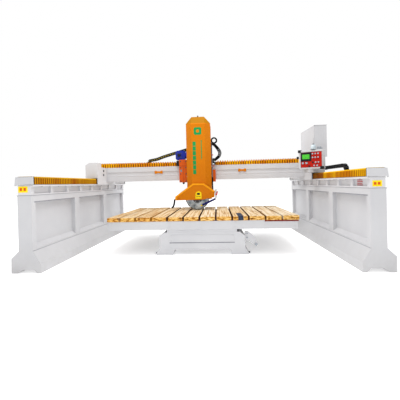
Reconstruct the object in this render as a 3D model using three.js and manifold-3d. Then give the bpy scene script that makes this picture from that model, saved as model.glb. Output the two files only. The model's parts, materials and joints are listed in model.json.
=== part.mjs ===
// A stone bridge saw: two long floor stands, a bridge that rolls along them, a carriage that
// slides along the bridge, a head that lifts on the carriage and drives a diamond blade, and a
// turning table of timber planks between the stands.
//
// Millimetres, +X to the operator's right, +Y away from the operator, +Z up. The origin is on
// the floor, in the middle of the machine.

import * as THREE from 'three';
import { mergeVertices } from 'three/addons/utils/BufferGeometryUtils.js';
import { ConvexGeometry } from 'three/addons/geometries/ConvexGeometry.js';
import Module from 'manifold-3d';

const wasm = await Module();
wasm.setup();

// ---------------------------------------------------------------- driving dimensions

const GAP = 0.3; // between pieces that touch
const PAST = 5; // how far a cutter runs past the face it opens

// Floor stands, given for the right-hand one and mirrored for the left.
const STAND_INNER = 2270;
const STAND_OUTER = 2476;
const STAND_HALF = 1900;
const LEDGE = 1085; // top of the stand
const FOOT_TOP = 310; // where the foot starts to flare
const FOOT_FLARE = 112;
const RECESS_DEPTH = 65;
const RECESS_TOP = 985;
const RECESS_FOOT = 335;
const RECESS_SILL = 60; // rise of the sloping sill
const RECESS_COUNT = 3;
const RECESS_MARGIN = 90;
const RECESS_POST = 170;

// Rail beds, guide rails and their covers.
const BED_TOP = 1235;
const BED_FLANGE = 25;
const RIB_COUNT = 9;
const RIB = 70;
const RIB_DEEP = 35;
const RAIL_HALF = 1790;
const RAIL_TOP = 1278;
const RACK_TOP = 1262;
const COVER_TOP = 1343;
const CAP_START = 1905;
const CAP_END = 1930;

// Bridge: end trucks and beam.
const TRUCK_IN = 2215;
const TRUCK_OUT = 2480;
const TRUCK_FRONT = 150;
const TRUCK_BACK = 1150;
const TRUCK_FLOOR = 1362;
const SKIRT_FOOT = 1222;
const TRUCK_TOP = 1690;
const LEFT_TOWER_BACK = 340; // the left truck is lower behind this
const BEAM_FRONT = 640;
const BEAM_BACK = 1040;
const BEAM_FOOT = 1285;
const BEAM_TOP = 1600;
const BEAM_RAIL_TOP = 1630;
const BEAM_RACK_TOP = 1615;
const BEAM_COVER_TOP = 1702;
const LEFT_COVER_END = -2380;

// Cable chains.
const TRAY_TOP = 1188;
const CHAIN_HALF = 33;
const CHAIN_RUN = 1457; // height of the bridge chain's upper run
const CHAIN_CLEAR = 5;

// Carriage on the beam.
const SADDLE_LEFT = -530;
const SADDLE_RIGHT = 280;
const SADDLE_STEP = 215;
const SADDLE_FRONT = 560;
const SADDLE_TOP = 1737;
const SADDLE_SHOE_FLOOR = 1633;
const SADDLE_SHOE_BACK = 815;

// Head: column cover, slide, motor, belt and blade.
const HEAD_X = -79;
const COVER_HALF = 262;
const COVER_FLAT = 144;
const COVER_FRONT = 290;
const COVER_BACK = 500;
const COVER_FOOT = 862;
const COVER_SHOULDER = 2493;
const COVER_ROOF = 2625;
const SHEET = 12;
const SLIDE_FRONT = 503;
const SLIDE_BACK = 553;
const BLADE_X = -115;
const BLADE_Y = 245;
const BLADE_Z = 897;
const BLADE_RADIUS = 250;
const BLADE_THICK = 4;
const FLANGE_RADIUS = 105;
const SHAFT_RADIUS = 22;
const MOTOR_Z = 2300;
const MOTOR_RADIUS = 150;
const MOTOR_PULLEY = 78;
const SPINDLE_PULLEY = 62;
const PULLEY_FRONT = 435;
const PULLEY_BACK = 490;
const BELT_THICK = 10;
const GUARD_FRONT = 196;
const GUARD_BACK = 286;

// Table.
const TABLE_X = 30; // the table's turning axis
const TABLE_HALF_X = 1600;
const TABLE_HALF_Y = 1000;
const PLANK_TOP = 644;
const PLANK_FOOT = 574;
const FRAME_FOOT = 430;
const PLANK_FIRST = 210;
const PLANK_COUNT = 12;
const PLANK_GROOVE = 30;
const PLANK_WEB = 8;
const PEDESTAL_TOP = 380;
const RING_TOP = 402;

// Control panel, electrical cabinet.
const PANEL_AT = [2105, -170, 1605];
const PANEL_TURN = THREE.MathUtils.degToRad(-35);
const PANEL_DOWN = 176; // from the face's middle to the box's floor
const FACE_WIDE = 390;
const FACE_HIGH = 290;
const CABINET = { left: 2332, right: 2570, front: 250, back: 1150, foot: 1690, top: 2334 };

// ---------------------------------------------------------------- solids and meshes

function solid(geometry) {
  geometry.deleteAttribute('normal');
  geometry.deleteAttribute('uv');
  const merged = mergeVertices(geometry, 1e-3);
  return new wasm.Manifold(new wasm.Mesh({
    numProp: 3,
    vertProperties: Float32Array.from(merged.attributes.position.array),
    triVerts: Uint32Array.from(merged.index.array),
  }));
}

function join(first, ...rest) {
  return rest.reduce((sum, piece) => sum.add(piece), first);
}

function cut(first, ...rest) {
  return rest.reduce((left, piece) => left.subtract(piece), first);
}

function block(x0, x1, y0, y1, z0, z1) {
  const geometry = new THREE.BoxGeometry(Math.abs(x1 - x0), Math.abs(y1 - y0), Math.abs(z1 - z0));
  geometry.translate((x0 + x1) / 2, (y0 + y1) / 2, (z0 + z1) / 2);
  return solid(geometry);
}

function extruded(points, length, basis, at) {
  const shape = new THREE.Shape(points.map(([a, b]) => new THREE.Vector2(a, b)));
  const geometry = new THREE.ExtrudeGeometry(shape, { depth: length, bevelEnabled: false });
  geometry.applyMatrix4(basis);
  geometry.translate(...at);
  return solid(geometry);
}

const X = new THREE.Vector3(1, 0, 0);
const Y = new THREE.Vector3(0, 1, 0);
const Z = new THREE.Vector3(0, 0, 1);

// An outline given in (y, z), run along X.
function alongX(points, x0, x1) {
  return extruded(points, x1 - x0, new THREE.Matrix4().makeBasis(Y, Z, X), [x0, 0, 0]);
}

// An outline given in (x, z), run along Y.
function alongY(points, y0, y1) {
  const basis = new THREE.Matrix4().makeBasis(X, Z, Y.clone().negate());
  return extruded(points, y1 - y0, basis, [0, y1, 0]);
}

// An outline given in (x, y), run along Z.
function alongZ(points, z0, z1) {
  return extruded(points, z1 - z0, new THREE.Matrix4(), [0, 0, z0]);
}

// A round bar along one axis; the two centre values are those of the other two axes, in order.
function bar(axis, [a, b], from, to, radius, sides = 24) {
  const geometry = new THREE.CylinderGeometry(radius, radius, to - from, sides);
  const middle = (from + to) / 2;
  if (axis === 'x') geometry.rotateZ(Math.PI / 2).translate(middle, a, b);
  if (axis === 'y') geometry.translate(a, middle, b);
  if (axis === 'z') geometry.rotateX(Math.PI / 2).translate(a, b, middle);
  return solid(geometry);
}

function mirrored(points, side) {
  return points.map(([x, z]) => [side * x, z]);
}

// The outline of a strap of even thickness that follows a smooth line through the points.
function ribbon(points, half, steps) {
  const curve = new THREE.CatmullRomCurve3(points.map(([a, b]) => new THREE.Vector3(a, b, 0)));
  const upper = [];
  const lower = [];
  for (let i = 0; i <= steps; i += 1) {
    const at = curve.getPointAt(i / steps);
    const along = curve.getTangentAt(i / steps);
    upper.push([at.x - along.y * half, at.y + along.x * half]);
    lower.unshift([at.x + along.y * half, at.y - along.x * half]);
  }
  return upper.concat(lower);
}

// A round tube with closed ends along a smooth line through the points.
function tube(points, radius, steps, sides = 10) {
  const section = new THREE.Shape();
  section.absarc(0, 0, radius, 0, Math.PI * 2);
  const extrudePath = new THREE.CatmullRomCurve3(points.map((p) => new THREE.Vector3(...p)));
  return solid(new THREE.ExtrudeGeometry(section, { steps, extrudePath, curveSegments: sides / 2 }));
}

function paint(color, roughness = 0.45, metalness = 0.2) {
  return new THREE.MeshStandardMaterial({ color, roughness, metalness });
}

const COLOURS = {
  white: '#dcdade', orange: '#e08616', saddle: '#c85a1e', bellows: '#eab01e', wood: '#e2c98f',
  black: '#1c1c1e', steel: '#8b9096', bright: '#c9ccd0', red: '#c83020', blue: '#2a3aa0',
};

function add(parent, name, body, color, roughness, metalness) {
  const { vertProperties, triVerts } = body.getMesh();
  const geometry = new THREE.BufferGeometry();
  geometry.setAttribute('position', new THREE.BufferAttribute(vertProperties, 3));
  geometry.setIndex(new THREE.BufferAttribute(triVerts, 1));
  const mesh = new THREE.Mesh(geometry, paint(COLOURS[color], roughness, metalness));
  mesh.name = name;
  parent.add(mesh);
  return mesh;
}

const saw = new THREE.Group();
const SIDES = [['left', -1], ['right', 1]];
const ENDS = [['front', -1], ['rear', 1]];

// ---------------------------------------------------------------- stands

// A welded wall on a flared, arched foot, with three recessed panels on its inner side.
function stand(side) {
  const toe = STAND_INNER - FOOT_FLARE;
  const heel = STAND_OUTER + FOOT_FLARE;
  const wall = alongY(mirrored([
    [STAND_INNER, LEDGE], [STAND_INNER, FOOT_TOP], [toe, 130], [toe, 0], [toe + 58, 0],
    [toe + 104, 48], [heel - 156, 48], [heel - 96, 0], [heel, 0], [heel, 205],
    [STAND_OUTER, FOOT_TOP], [STAND_OUTER, LEDGE],
  ], side), -STAND_HALF, STAND_HALF);
  const clear = 2 * (STAND_HALF - RECESS_MARGIN) - (RECESS_COUNT - 1) * RECESS_POST;
  const width = clear / RECESS_COUNT;
  const recesses = [];
  for (let i = 0; i < RECESS_COUNT; i += 1) {
    const start = -STAND_HALF + RECESS_MARGIN + i * (width + RECESS_POST);
    recesses.push(alongY(mirrored([
      [STAND_INNER - PAST, RECESS_FOOT], [STAND_INNER + RECESS_DEPTH, RECESS_FOOT + RECESS_SILL],
      [STAND_INNER + RECESS_DEPTH, RECESS_TOP], [STAND_INNER - PAST, RECESS_TOP],
    ], side), start, start + width));
  }
  return cut(wall, ...recesses);
}

// The ribbed casting that carries the guide rail along the top of a stand.
function railBed(side) {
  const foot = LEDGE + GAP;
  const inner = STAND_INNER + 2;
  let bed = join(
    block(side * inner, side * 2462, -STAND_HALF, STAND_HALF, foot, BED_TOP),
    block(side * 2236, side * 2468, -STAND_HALF, STAND_HALF, BED_TOP - BED_FLANGE, BED_TOP),
  );
  const pitch = (2 * STAND_HALF - RIB) / (RIB_COUNT - 1);
  for (let i = 0; i < RIB_COUNT - 1; i += 1) {
    const start = -STAND_HALF + RIB + i * pitch;
    bed = cut(bed, block(side * (inner - PAST), side * (inner + RIB_DEEP), start, start + pitch - RIB,
      foot + 24, BED_TOP - BED_FLANGE));
  }
  if (side > 0) {
    // The tray that the bridge's cable chain lies in, and the bracket that ends the chain.
    bed = join(bed, block(2450, 2572, -1500, 765, 1180, TRAY_TOP),
      block(2450, 2572, 735, 765, 1180, BED_TOP));
  }
  return bed;
}

// The ground way and, beside it, the rack that the travel pinion climbs along.
function guideRail(side) {
  return alongY(mirrored([
    [2300, BED_TOP + GAP], [2445, BED_TOP + GAP], [2445, RACK_TOP], [2390, RACK_TOP],
    [2390, 1247], [2370, 1247], [2370, RAIL_TOP], [2300, RAIL_TOP],
  ], side), -RAIL_HALF, RAIL_HALF);
}

// The sheet hood that closes the end of a rail cover, with a lip over the outer edge.
function endCap(side, end) {
  const inside = Math.min(end * CAP_START, end * CAP_END);
  const outside = Math.max(end * CAP_START, end * CAP_END);
  const hood = alongY(mirrored([
    [2226, BED_TOP + 1], [2226, COVER_TOP], [2474, COVER_TOP], [2490, 1222], [2483, 1222],
    [2476, BED_TOP + 1],
  ], side), inside, outside);
  const hollow = end < 0
    ? block(side * 2232, side * 2468, inside + 6, outside + PAST, BED_TOP - PAST, COVER_TOP - 6)
    : block(side * 2232, side * 2468, inside - PAST, outside - 6, BED_TOP - PAST, COVER_TOP - 6);
  return cut(hood, hollow);
}

// The accordion cover over a guide rail, as the plain channel that its folds fill.
function railCover(side, end) {
  const outline = mirrored([
    [2230, 1241], [2230, COVER_TOP], [2460, COVER_TOP], [2460, 1241], [2452, 1241],
    [2452, 1312], [2285, 1312], [2285, 1241],
  ], side);
  const truck = end < 0 ? TRUCK_FRONT - 3 : TRUCK_BACK + 3;
  const cap = end * (CAP_START - 3);
  return alongY(outline, Math.min(truck, cap), Math.max(truck, cap));
}

for (const [sideName, side] of SIDES) {
  add(saw, `${sideName}_stand`, stand(side), 'white');
  add(saw, `${sideName}_rail_bed`, railBed(side), 'white');
  add(saw, `${sideName}_guide_rail`, guideRail(side), 'steel', 0.3, 0.9);
  for (const [endName, end] of ENDS) {
    add(saw, `${sideName}_${endName}_end_cap`, endCap(side, end), 'white');
    add(saw, `${sideName}_${endName}_bellows`, railCover(side, end), 'bellows', 0.6, 0);
  }
}

// ---------------------------------------------------------------- table

// The floor base, open below, with the fixed half of the slewing ring on top.
function pedestal() {
  const half = [
    [470, 85], [490, 0], [780, 0], [780, 32], [725, 104], [725, 310], [631, PEDESTAL_TOP],
  ];
  const mirror = half.map(([x, z]) => [-x, z]).reverse();
  const outline = half.concat(mirror).map(([x, z]) => [x + TABLE_X, z]);
  const body = alongY(outline, -940, 940);
  const hollow = block(TABLE_X - 430, TABLE_X + 430, -890, 890, -PAST, PEDESTAL_TOP - 30);
  const ring = bar('z', [TABLE_X, 0], PEDESTAL_TOP - PAST, RING_TOP, 400, 40);
  return join(cut(body, hollow), ring);
}

// The hooked lug for tipping the table, bolted to the pedestal's side.
function tiltArm() {
  const arm = alongY([
    [755 + GAP, 372], [815, 368], [911, 284], [966, 152], [941, 121], [868, 180], [796, 222],
    [755 + GAP, 224],
  ], -885, -845);
  return cut(arm, bar('y', [938, 158], -890, -840, 17, 16));
}

// Welded channels around and across, on the turning half of the slewing ring.
function tableFrame() {
  const halfX = TABLE_HALF_X - 15;
  const halfY = TABLE_HALF_Y - 15;
  const edge = 80;
  const rib = 60;
  const columns = 6;
  const rows = 4;
  const wide = (2 * (halfX - edge) - (columns - 1) * rib) / columns;
  const deep = (2 * (halfY - edge) - (rows - 1) * rib) / rows;
  let frame = block(TABLE_X - halfX, TABLE_X + halfX, -halfY, halfY, FRAME_FOOT, PLANK_FOOT - GAP);
  for (let i = 0; i < columns; i += 1) {
    for (let j = 0; j < rows; j += 1) {
      const x = TABLE_X - halfX + edge + i * (wide + rib);
      const y = -halfY + edge + j * (deep + rib);
      frame = cut(frame, block(x, x + wide, y, y + deep, FRAME_FOOT - PAST, PLANK_FOOT + PAST));
    }
  }
  return join(frame, bar('z', [TABLE_X, 0], RING_TOP + GAP, FRAME_FOOT + 20, 420, 40));
}

// Twelve planks side by side, the first one narrower, held together by a thin web below.
function tablePlanks() {
  const left = TABLE_X - TABLE_HALF_X;
  const pitch = (2 * TABLE_HALF_X - PLANK_FIRST) / (PLANK_COUNT - 1);
  let planks = block(left, left + 2 * TABLE_HALF_X, -TABLE_HALF_Y, TABLE_HALF_Y, PLANK_FOOT, PLANK_TOP);
  for (let i = 0; i < PLANK_COUNT - 1; i += 1) {
    const x = left + PLANK_FIRST + i * pitch;
    planks = cut(planks, block(x - PLANK_GROOVE / 2, x + PLANK_GROOVE / 2, -TABLE_HALF_Y - PAST,
      TABLE_HALF_Y + PAST, PLANK_FOOT + PLANK_WEB, PLANK_TOP + PAST));
  }
  return planks;
}

add(saw, 'pedestal', pedestal(), 'white');
add(saw, 'tilt_arm', tiltArm(), 'white');
add(saw, 'table_frame', tableFrame(), 'white');
add(saw, 'table_planks', tablePlanks(), 'wood', 0.8, 0);

// ---------------------------------------------------------------- bridge

const PINION_Y = 650;
const PINION_RADIUS = 48;
const PINION_Z = RACK_TOP + GAP + PINION_RADIUS;

// An end truck: box body, inner skirt, two rail shoes and the bracket that bears the pinion.
function truck(side) {
  const tower = side < 0 ? LEFT_TOWER_BACK : TRUCK_BACK;
  let body = alongY(mirrored([
    [TRUCK_IN, TRUCK_FLOOR], [TRUCK_OUT, TRUCK_FLOOR], [TRUCK_OUT, 1640], [2396, TRUCK_TOP],
    [TRUCK_IN, TRUCK_TOP],
  ], side), TRUCK_FRONT, tower);
  if (tower < TRUCK_BACK) {
    const low = block(side * TRUCK_IN, side * TRUCK_OUT, tower - PAST, TRUCK_BACK, TRUCK_FLOOR, BEAM_TOP);
    const stop = block(LEFT_COVER_END - 14, LEFT_COVER_END - 4, 636, 812, BEAM_TOP - PAST, BEAM_COVER_TOP);
    body = join(body, low, stop);
  }
  const skirt = block(side * TRUCK_IN, side * (TRUCK_IN + 13), TRUCK_FRONT, TRUCK_BACK,
    SKIRT_FOOT, TRUCK_FLOOR + PAST);
  body = join(body, skirt);
  for (const y of [200, 920]) {
    const top = block(side * 2285, side * 2380, y, y + 180, RAIL_TOP + GAP, TRUCK_FLOOR + PAST);
    const cheek = block(side * 2285, side * (2300 - GAP), y, y + 180, 1248, RAIL_TOP + PAST);
    body = join(body, top, cheek);
  }
  const bracket = block(side * 2374, side * 2390, PINION_Y - 50, PINION_Y + 50, 1285, TRUCK_FLOOR + PAST);
  const bore = side > 0 ? [2360, 2400] : [-2400, -2360];
  body = join(body, cut(bracket, bar('x', [PINION_Y, PINION_Z], ...bore, 13, 16)));
  if (side > 0) {
    // The bent arm under the control panel, and the bracket that starts the bridge's cable chain.
    const seat = PANEL_AT[2] - PANEL_DOWN - GAP;
    body = join(
      body,
      block(2060, 2150, -150, 120, TRUCK_FLOOR, seat),
      block(2060, 2300, 60, TRUCK_FRONT + PAST, TRUCK_FLOOR, seat),
      block(TRUCK_OUT - PAST, 2570, 255, 300, CHAIN_RUN - CHAIN_HALF - 9, CHAIN_RUN + CHAIN_HALF + 9),
    );
  }
  return body;
}

// The roller pinion of one truck, on its stub shaft.
function travelPinion(side) {
  const span = (a, b) => (side > 0 ? [a, b] : [-b, -a]);
  return join(
    bar('x', [PINION_Y, PINION_Z], ...span(2396, 2441), PINION_RADIUS, 30),
    bar('x', [PINION_Y, PINION_Z], ...span(2372, 2398), 12, 16),
  );
}

// The box beam with its stepped front, the carriage way and rack on top, open at both ends.
function bridgeBeam() {
  const outline = [
    [BEAM_FRONT, BEAM_FOOT], [BEAM_BACK, BEAM_FOOT], [BEAM_BACK, BEAM_TOP], [795, BEAM_TOP],
    [795, BEAM_RACK_TOP], [760, BEAM_RACK_TOP], [760, BEAM_TOP], [740, BEAM_TOP],
    [740, BEAM_RAIL_TOP], [690, BEAM_RAIL_TOP], [690, BEAM_TOP], [630, BEAM_TOP], [630, 1492],
    [644, 1486], [644, 1428], [BEAM_FRONT, 1422], [BEAM_FRONT, 1390], [646, 1384], [BEAM_FRONT, 1378],
  ];
  const end = TRUCK_IN - GAP;
  const beam = alongX(outline, -end, end);
  return cut(beam, block(-end - PAST, end + PAST, 680, 1000, 1325, 1560));
}

// The accordion cover over the carriage way, as the plain channel that its folds fill.
function beamCover(x0, x1) {
  return alongX([
    [636, 1604], [684, 1604], [684, 1650], [798, 1650], [798, 1604], [812, 1604],
    [812, BEAM_COVER_TOP], [636, BEAM_COVER_TOP],
  ], x0, x1);
}

// The chain that feeds the bridge: forward from the truck, round a loop, back along its tray.
function bridgeChain() {
  const lower = TRAY_TOP + CHAIN_CLEAR + CHAIN_HALF;
  const radius = (CHAIN_RUN - lower) / 2;
  const loop = [];
  for (let i = 0; i <= 8; i += 1) {
    const turn = Math.PI * (0.5 + i / 8);
    loop.push([-560 + radius * Math.cos(turn), lower + radius + radius * Math.sin(turn)]);
  }
  const run = [254.5, 100, -300, -500].map((y) => [y, CHAIN_RUN]);
  const back = [-500, -200, 300, 600, 734.5].map((y) => [y, lower]);
  return alongX(ribbon([...run, ...loop, ...back], CHAIN_HALF, 48), 2506, 2566);
}

// The chain that feeds the carriage: down from its post, round a loop, back along the beam.
function carriageChain() {
  const lower = BEAM_TOP + CHAIN_CLEAR + CHAIN_HALF;
  const radius = 64;
  const loop = [];
  for (let i = 0; i <= 8; i += 1) {
    const turn = Math.PI * (0.5 + i / 8);
    loop.push([-1215 + radius * Math.cos(turn), lower + radius + radius * Math.sin(turn)]);
  }
  const run = [[-356, 1998], [-400, 1986], [-650, 1919], [-897, 1850], [-1080, 1790]];
  const back = [[-1150, lower], [-900, lower], [-500, lower], [0, lower]];
  return alongY(ribbon([...run, ...loop, ...back], CHAIN_HALF, 48), 820, 880);
}

for (const [sideName, side] of SIDES) {
  add(saw, `${sideName}_truck`, truck(side), 'white');
  add(saw, `${sideName}_travel_pinion`, travelPinion(side), 'steel', 0.3, 0.9);
}
add(saw, 'bridge_beam', bridgeBeam(), 'white');
add(saw, 'left_beam_bellows', beamCover(LEFT_COVER_END, SADDLE_LEFT - 4), 'bellows', 0.6, 0);
add(saw, 'right_beam_bellows', beamCover(SADDLE_RIGHT + 4, TRUCK_IN - 4), 'bellows', 0.6, 0);
add(saw, 'bridge_cable_chain', bridgeChain(), 'black', 0.6, 0);
add(saw, 'carriage_cable_chain', carriageChain(), 'black', 0.6, 0);

// ---------------------------------------------------------------- electrical cabinet

function cabinet() {
  const c = CABINET;
  return cut(
    block(c.left, c.right, c.front, c.back, c.foot + GAP, c.top),
    block(c.left - PAST, c.right - 8, c.front + 8, c.back - 8, c.foot + 34, c.top - 8),
  );
}

// The door on the inner side, hung at its rear edge.
function cabinetDoor() {
  const c = CABINET;
  const face = c.left - 18;
  const door = block(face, c.left - GAP, c.front + 2, c.back - 2, c.foot + 30, c.top - 2);
  const grip = block(face - 14, face + 2, c.front + 40, c.front + 60, 1960, 2080);
  return join(door, grip);
}

add(saw, 'cabinet', cabinet(), 'white');
add(saw, 'cabinet_door', cabinetDoor(), 'white');

// ---------------------------------------------------------------- control panel
// Built square to its own group: +X along the face, +Y into the box, +Z up, and the face at y = 0.

const panel = new THREE.Group();
panel.position.set(...PANEL_AT);
panel.rotation.z = PANEL_TURN;
saw.add(panel);

const BUTTON_RADIUS = 15;
const BUTTON_OUT = 15;
const BUTTON_IN = 6;
const KNOB_RADIUS = 21;
const KNOB_OUT = 24;
const HOLE_CLEAR = 0.6;

// Places on the face as fractions of its width from the left and of its height from the top.
const BUTTONS = [
  [0.58, 0.13], [0.71, 0.13], [0.84, 0.13], [0.58, 0.37], [0.71, 0.37], [0.84, 0.37],
  [0.72, 0.69], [0.85, 0.69], [0.65, 0.90], [0.79, 0.90],
];
const KNOBS = [[0.11, 0.72], [0.29, 0.72]];

function onFace([u, v]) {
  return [(u - 0.5) * FACE_WIDE, (0.5 - v) * FACE_HIGH];
}

function panelBox() {
  const shell = block(-232, 206, 0, 200, -PANEL_DOWN, 182);
  const recess = block(-198, 198, -PAST, 14, -148, 148);
  const hollow = block(-188, 188, 13, 188, -138, 138);
  return cut(shell, recess, hollow);
}

function panelFace() {
  let face = block(-FACE_WIDE / 2, FACE_WIDE / 2, 2, 14 - GAP, -FACE_HIGH / 2, FACE_HIGH / 2);
  for (const place of BUTTONS) {
    face = cut(face, bar('y', onFace(place), -PAST, 20, BUTTON_RADIUS + HOLE_CLEAR, 16));
  }
  return face;
}

// A push button with a slightly narrower cap, centred on its own axis.
function button() {
  return join(
    bar('y', [0, 0], -BUTTON_OUT + 5, BUTTON_IN, BUTTON_RADIUS, 16),
    bar('y', [0, 0], -BUTTON_OUT, -BUTTON_OUT + 6, BUTTON_RADIUS - 2, 16),
  );
}

// A knob with a raised grip bar across it.
function knob() {
  return join(
    bar('y', [0, 0], -KNOB_OUT + 8, 2 - GAP, KNOB_RADIUS, 20),
    block(-5, 5, -KNOB_OUT, -KNOB_OUT + 10, -KNOB_RADIUS + 4, KNOB_RADIUS - 4),
  );
}

add(panel, 'panel_box', panelBox(), 'white');
add(panel, 'panel_face', panelFace(), 'red', 0.4, 0);
BUTTONS.forEach((place, i) => {
  const [x, z] = onFace(place);
  add(panel, `push_button_${i + 1}`, button(), 'bright', 0.25, 0.9).position.set(x, 0, z);
});
KNOBS.forEach((place, i) => {
  const [x, z] = onFace(place);
  add(panel, `speed_knob_${i + 1}`, knob(), 'bright', 0.25, 0.9).position.set(x, 0, z);
});

// ---------------------------------------------------------------- carriage

const TRAVERSE_RADIUS = 36;
const TRAVERSE_AT = [-450, BEAM_RACK_TOP + GAP + TRAVERSE_RADIUS];

// The plate in front of the beam, its shoe over the carriage way, its hook below the beam, the
// two ways for the lift slide and the post that holds the cable chain.
function saddle() {
  const plate = alongY([
    [SADDLE_LEFT, 1232], [SADDLE_RIGHT, 1232], [SADDLE_RIGHT, 1500], [SADDLE_STEP, 1500],
    [SADDLE_STEP, SADDLE_TOP], [SADDLE_LEFT, SADDLE_TOP],
  ], SADDLE_FRONT, 622);
  const shoe = block(SADDLE_LEFT, SADDLE_STEP, SADDLE_FRONT, SADDLE_SHOE_BACK, SADDLE_SHOE_FLOOR, SADDLE_TOP);
  const hook = block(-400, 150, SADDLE_FRONT, 700, 1232, BEAM_FOOT - 5);
  const post = block(-345, -285, SADDLE_SHOE_BACK - 25, 890, SADDLE_SHOE_FLOOR + 40, 2046);
  const ways = [-260, 70].map((x) => (
    block(x, x + 32, SLIDE_BACK + GAP, SADDLE_FRONT + PAST, 1232, SADDLE_TOP)));
  const [x, z] = TRAVERSE_AT;
  const pocket = block(x - 42, x + 42, 757, 799, SADDLE_SHOE_FLOOR - PAST, z + 42);
  const bore = bar('y', TRAVERSE_AT, 730, SADDLE_SHOE_BACK + PAST, 11, 16);
  return cut(join(plate, shoe, hook, post, ...ways), pocket, bore);
}

function traversePinion() {
  return join(
    bar('y', TRAVERSE_AT, 761, 795, TRAVERSE_RADIUS, 30),
    bar('y', TRAVERSE_AT, 735, 812, 10, 16),
  );
}

// A square worm gearbox with a round cover in front, and its motor lying along the beam.
function gearmotor() {
  const foot = SADDLE_TOP + GAP;
  const gearbox = alongY([
    [-590, foot], [-420, foot], [-396, 1775], [-396, 1915], [-420, 1950], [-580, 1950],
    [-615, 1915], [-615, 1770],
  ], 640, 780);
  return join(
    gearbox,
    bar('y', [-535, 1846], 622, 645, 38),
    bar('x', [710, 1850], -400, -130, 72),
  );
}

add(saw, 'saddle', saddle(), 'saddle');
add(saw, 'traverse_pinion', traversePinion(), 'steel', 0.3, 0.9);
add(saw, 'traverse_gearmotor', gearmotor(), 'blue');

// ---------------------------------------------------------------- head

function hull(points) {
  return solid(new ConvexGeometry(points.map((p) => new THREE.Vector3(...p))));
}

// The column's outer form, drawn in by inset on every side: five-sided in plan, hipped on top.
function columnForm(inset, back, foot) {
  const plan = [
    [-COVER_FLAT, COVER_FRONT], [COVER_FLAT, COVER_FRONT], [COVER_HALF, COVER_FRONT + 110],
    [COVER_HALF, back], [-COVER_HALF, back], [-COVER_HALF, COVER_FRONT + 110],
  ];
  const drawn = plan.map(([x, y]) => [
    HEAD_X + x - Math.sign(x) * inset, y < back ? y + inset : y,
  ]);
  const roof = [[-134, COVER_FRONT + 55], [134, COVER_FRONT + 55], [134, back], [-134, back]];
  return hull([
    ...drawn.map(([x, y]) => [x, y, foot]),
    ...drawn.map(([x, y], i) => [x, y, (i < 2 ? COVER_SHOULDER - 28 : COVER_SHOULDER) - inset]),
    ...roof.map(([x, y]) => [HEAD_X + x, y < back ? y + inset : y, COVER_ROOF - inset]),
  ]);
}

// The tall sheet cover, open behind and below, with the hole that the spindle passes through.
function columnCover() {
  const outer = columnForm(0, COVER_BACK, COVER_FOOT);
  const inner = columnForm(SHEET, COVER_BACK + PAST, COVER_FOOT - PAST);
  return cut(outer, inner, bar('y', [BLADE_X, BLADE_Z], 280, 310, 40));
}

// The slide behind the cover: the plate, the motor plate above it and the spindle bracket below.
function liftSlide() {
  const plate = block(-345, 205, SLIDE_FRONT, SLIDE_BACK, 1300, 2095);
  const lower = block(-330, 170, SLIDE_FRONT, SLIDE_BACK, 870, 1310);
  const upper = block(-280, 60, SLIDE_FRONT, SLIDE_BACK, 2080, 2470);
  const nose = block(-205, -25, 310, 430, 815, 985);
  const arm = block(-300, -195, 400, SLIDE_FRONT + PAST, 870, 960);
  return cut(
    join(plate, lower, upper, nose, arm),
    bar('y', [BLADE_X, BLADE_Z], 300, 440, SHAFT_RADIUS + 1),
    bar('y', [BLADE_X, MOTOR_Z], SLIDE_FRONT - PAST, SLIDE_BACK + PAST, 34),
  );
}

function mainMotor() {
  return join(
    bar('y', [BLADE_X, MOTOR_Z], SLIDE_BACK + GAP, 930, MOTOR_RADIUS, 32),
    block(BLADE_X - 60, BLADE_X + 60, 640, 790, MOTOR_Z + MOTOR_RADIUS - 20, MOTOR_Z + MOTOR_RADIUS + 45),
  );
}

function motorPulley() {
  return join(
    bar('y', [BLADE_X, MOTOR_Z], PULLEY_FRONT, PULLEY_BACK, MOTOR_PULLEY, 30),
    bar('y', [BLADE_X, MOTOR_Z], PULLEY_BACK - PAST, SLIDE_BACK, 24, 16),
  );
}

// The form wrapped around both pulleys, standing clear of them by the given amount.
function beltForm(clear, front, back) {
  const points = [];
  for (const [z, radius] of [[MOTOR_Z, MOTOR_PULLEY], [BLADE_Z, SPINDLE_PULLEY]]) {
    for (let i = 0; i < 36; i += 1) {
      const turn = (i * Math.PI) / 18;
      const x = BLADE_X + (radius + clear) * Math.cos(turn);
      const height = z + (radius + clear) * Math.sin(turn);
      points.push([x, front, height], [x, back, height]);
    }
  }
  return hull(points);
}

function driveBelt() {
  const outer = beltForm(BELT_THICK, PULLEY_FRONT + 6, PULLEY_BACK - 6);
  return cut(outer, beltForm(1, PULLEY_FRONT - PAST, PULLEY_BACK + PAST));
}

// Shaft, rear blade flange and belt pulley, turned as one.
function spindle() {
  const back = BLADE_Y + BLADE_THICK / 2 + GAP;
  return join(
    bar('y', [BLADE_X, BLADE_Z], 218, PULLEY_BACK, SHAFT_RADIUS, 24),
    bar('y', [BLADE_X, BLADE_Z], back, back + 14, FLANGE_RADIUS, 36),
    bar('y', [BLADE_X, BLADE_Z], PULLEY_FRONT, PULLEY_BACK, SPINDLE_PULLEY, 30),
  );
}

function clampFlange() {
  const back = BLADE_Y - BLADE_THICK / 2 - GAP;
  return cut(
    bar('y', [BLADE_X, BLADE_Z], back - 14, back, FLANGE_RADIUS, 36),
    bar('y', [BLADE_X, BLADE_Z], back - 20, back + PAST, SHAFT_RADIUS + GAP, 24),
  );
}

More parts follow.
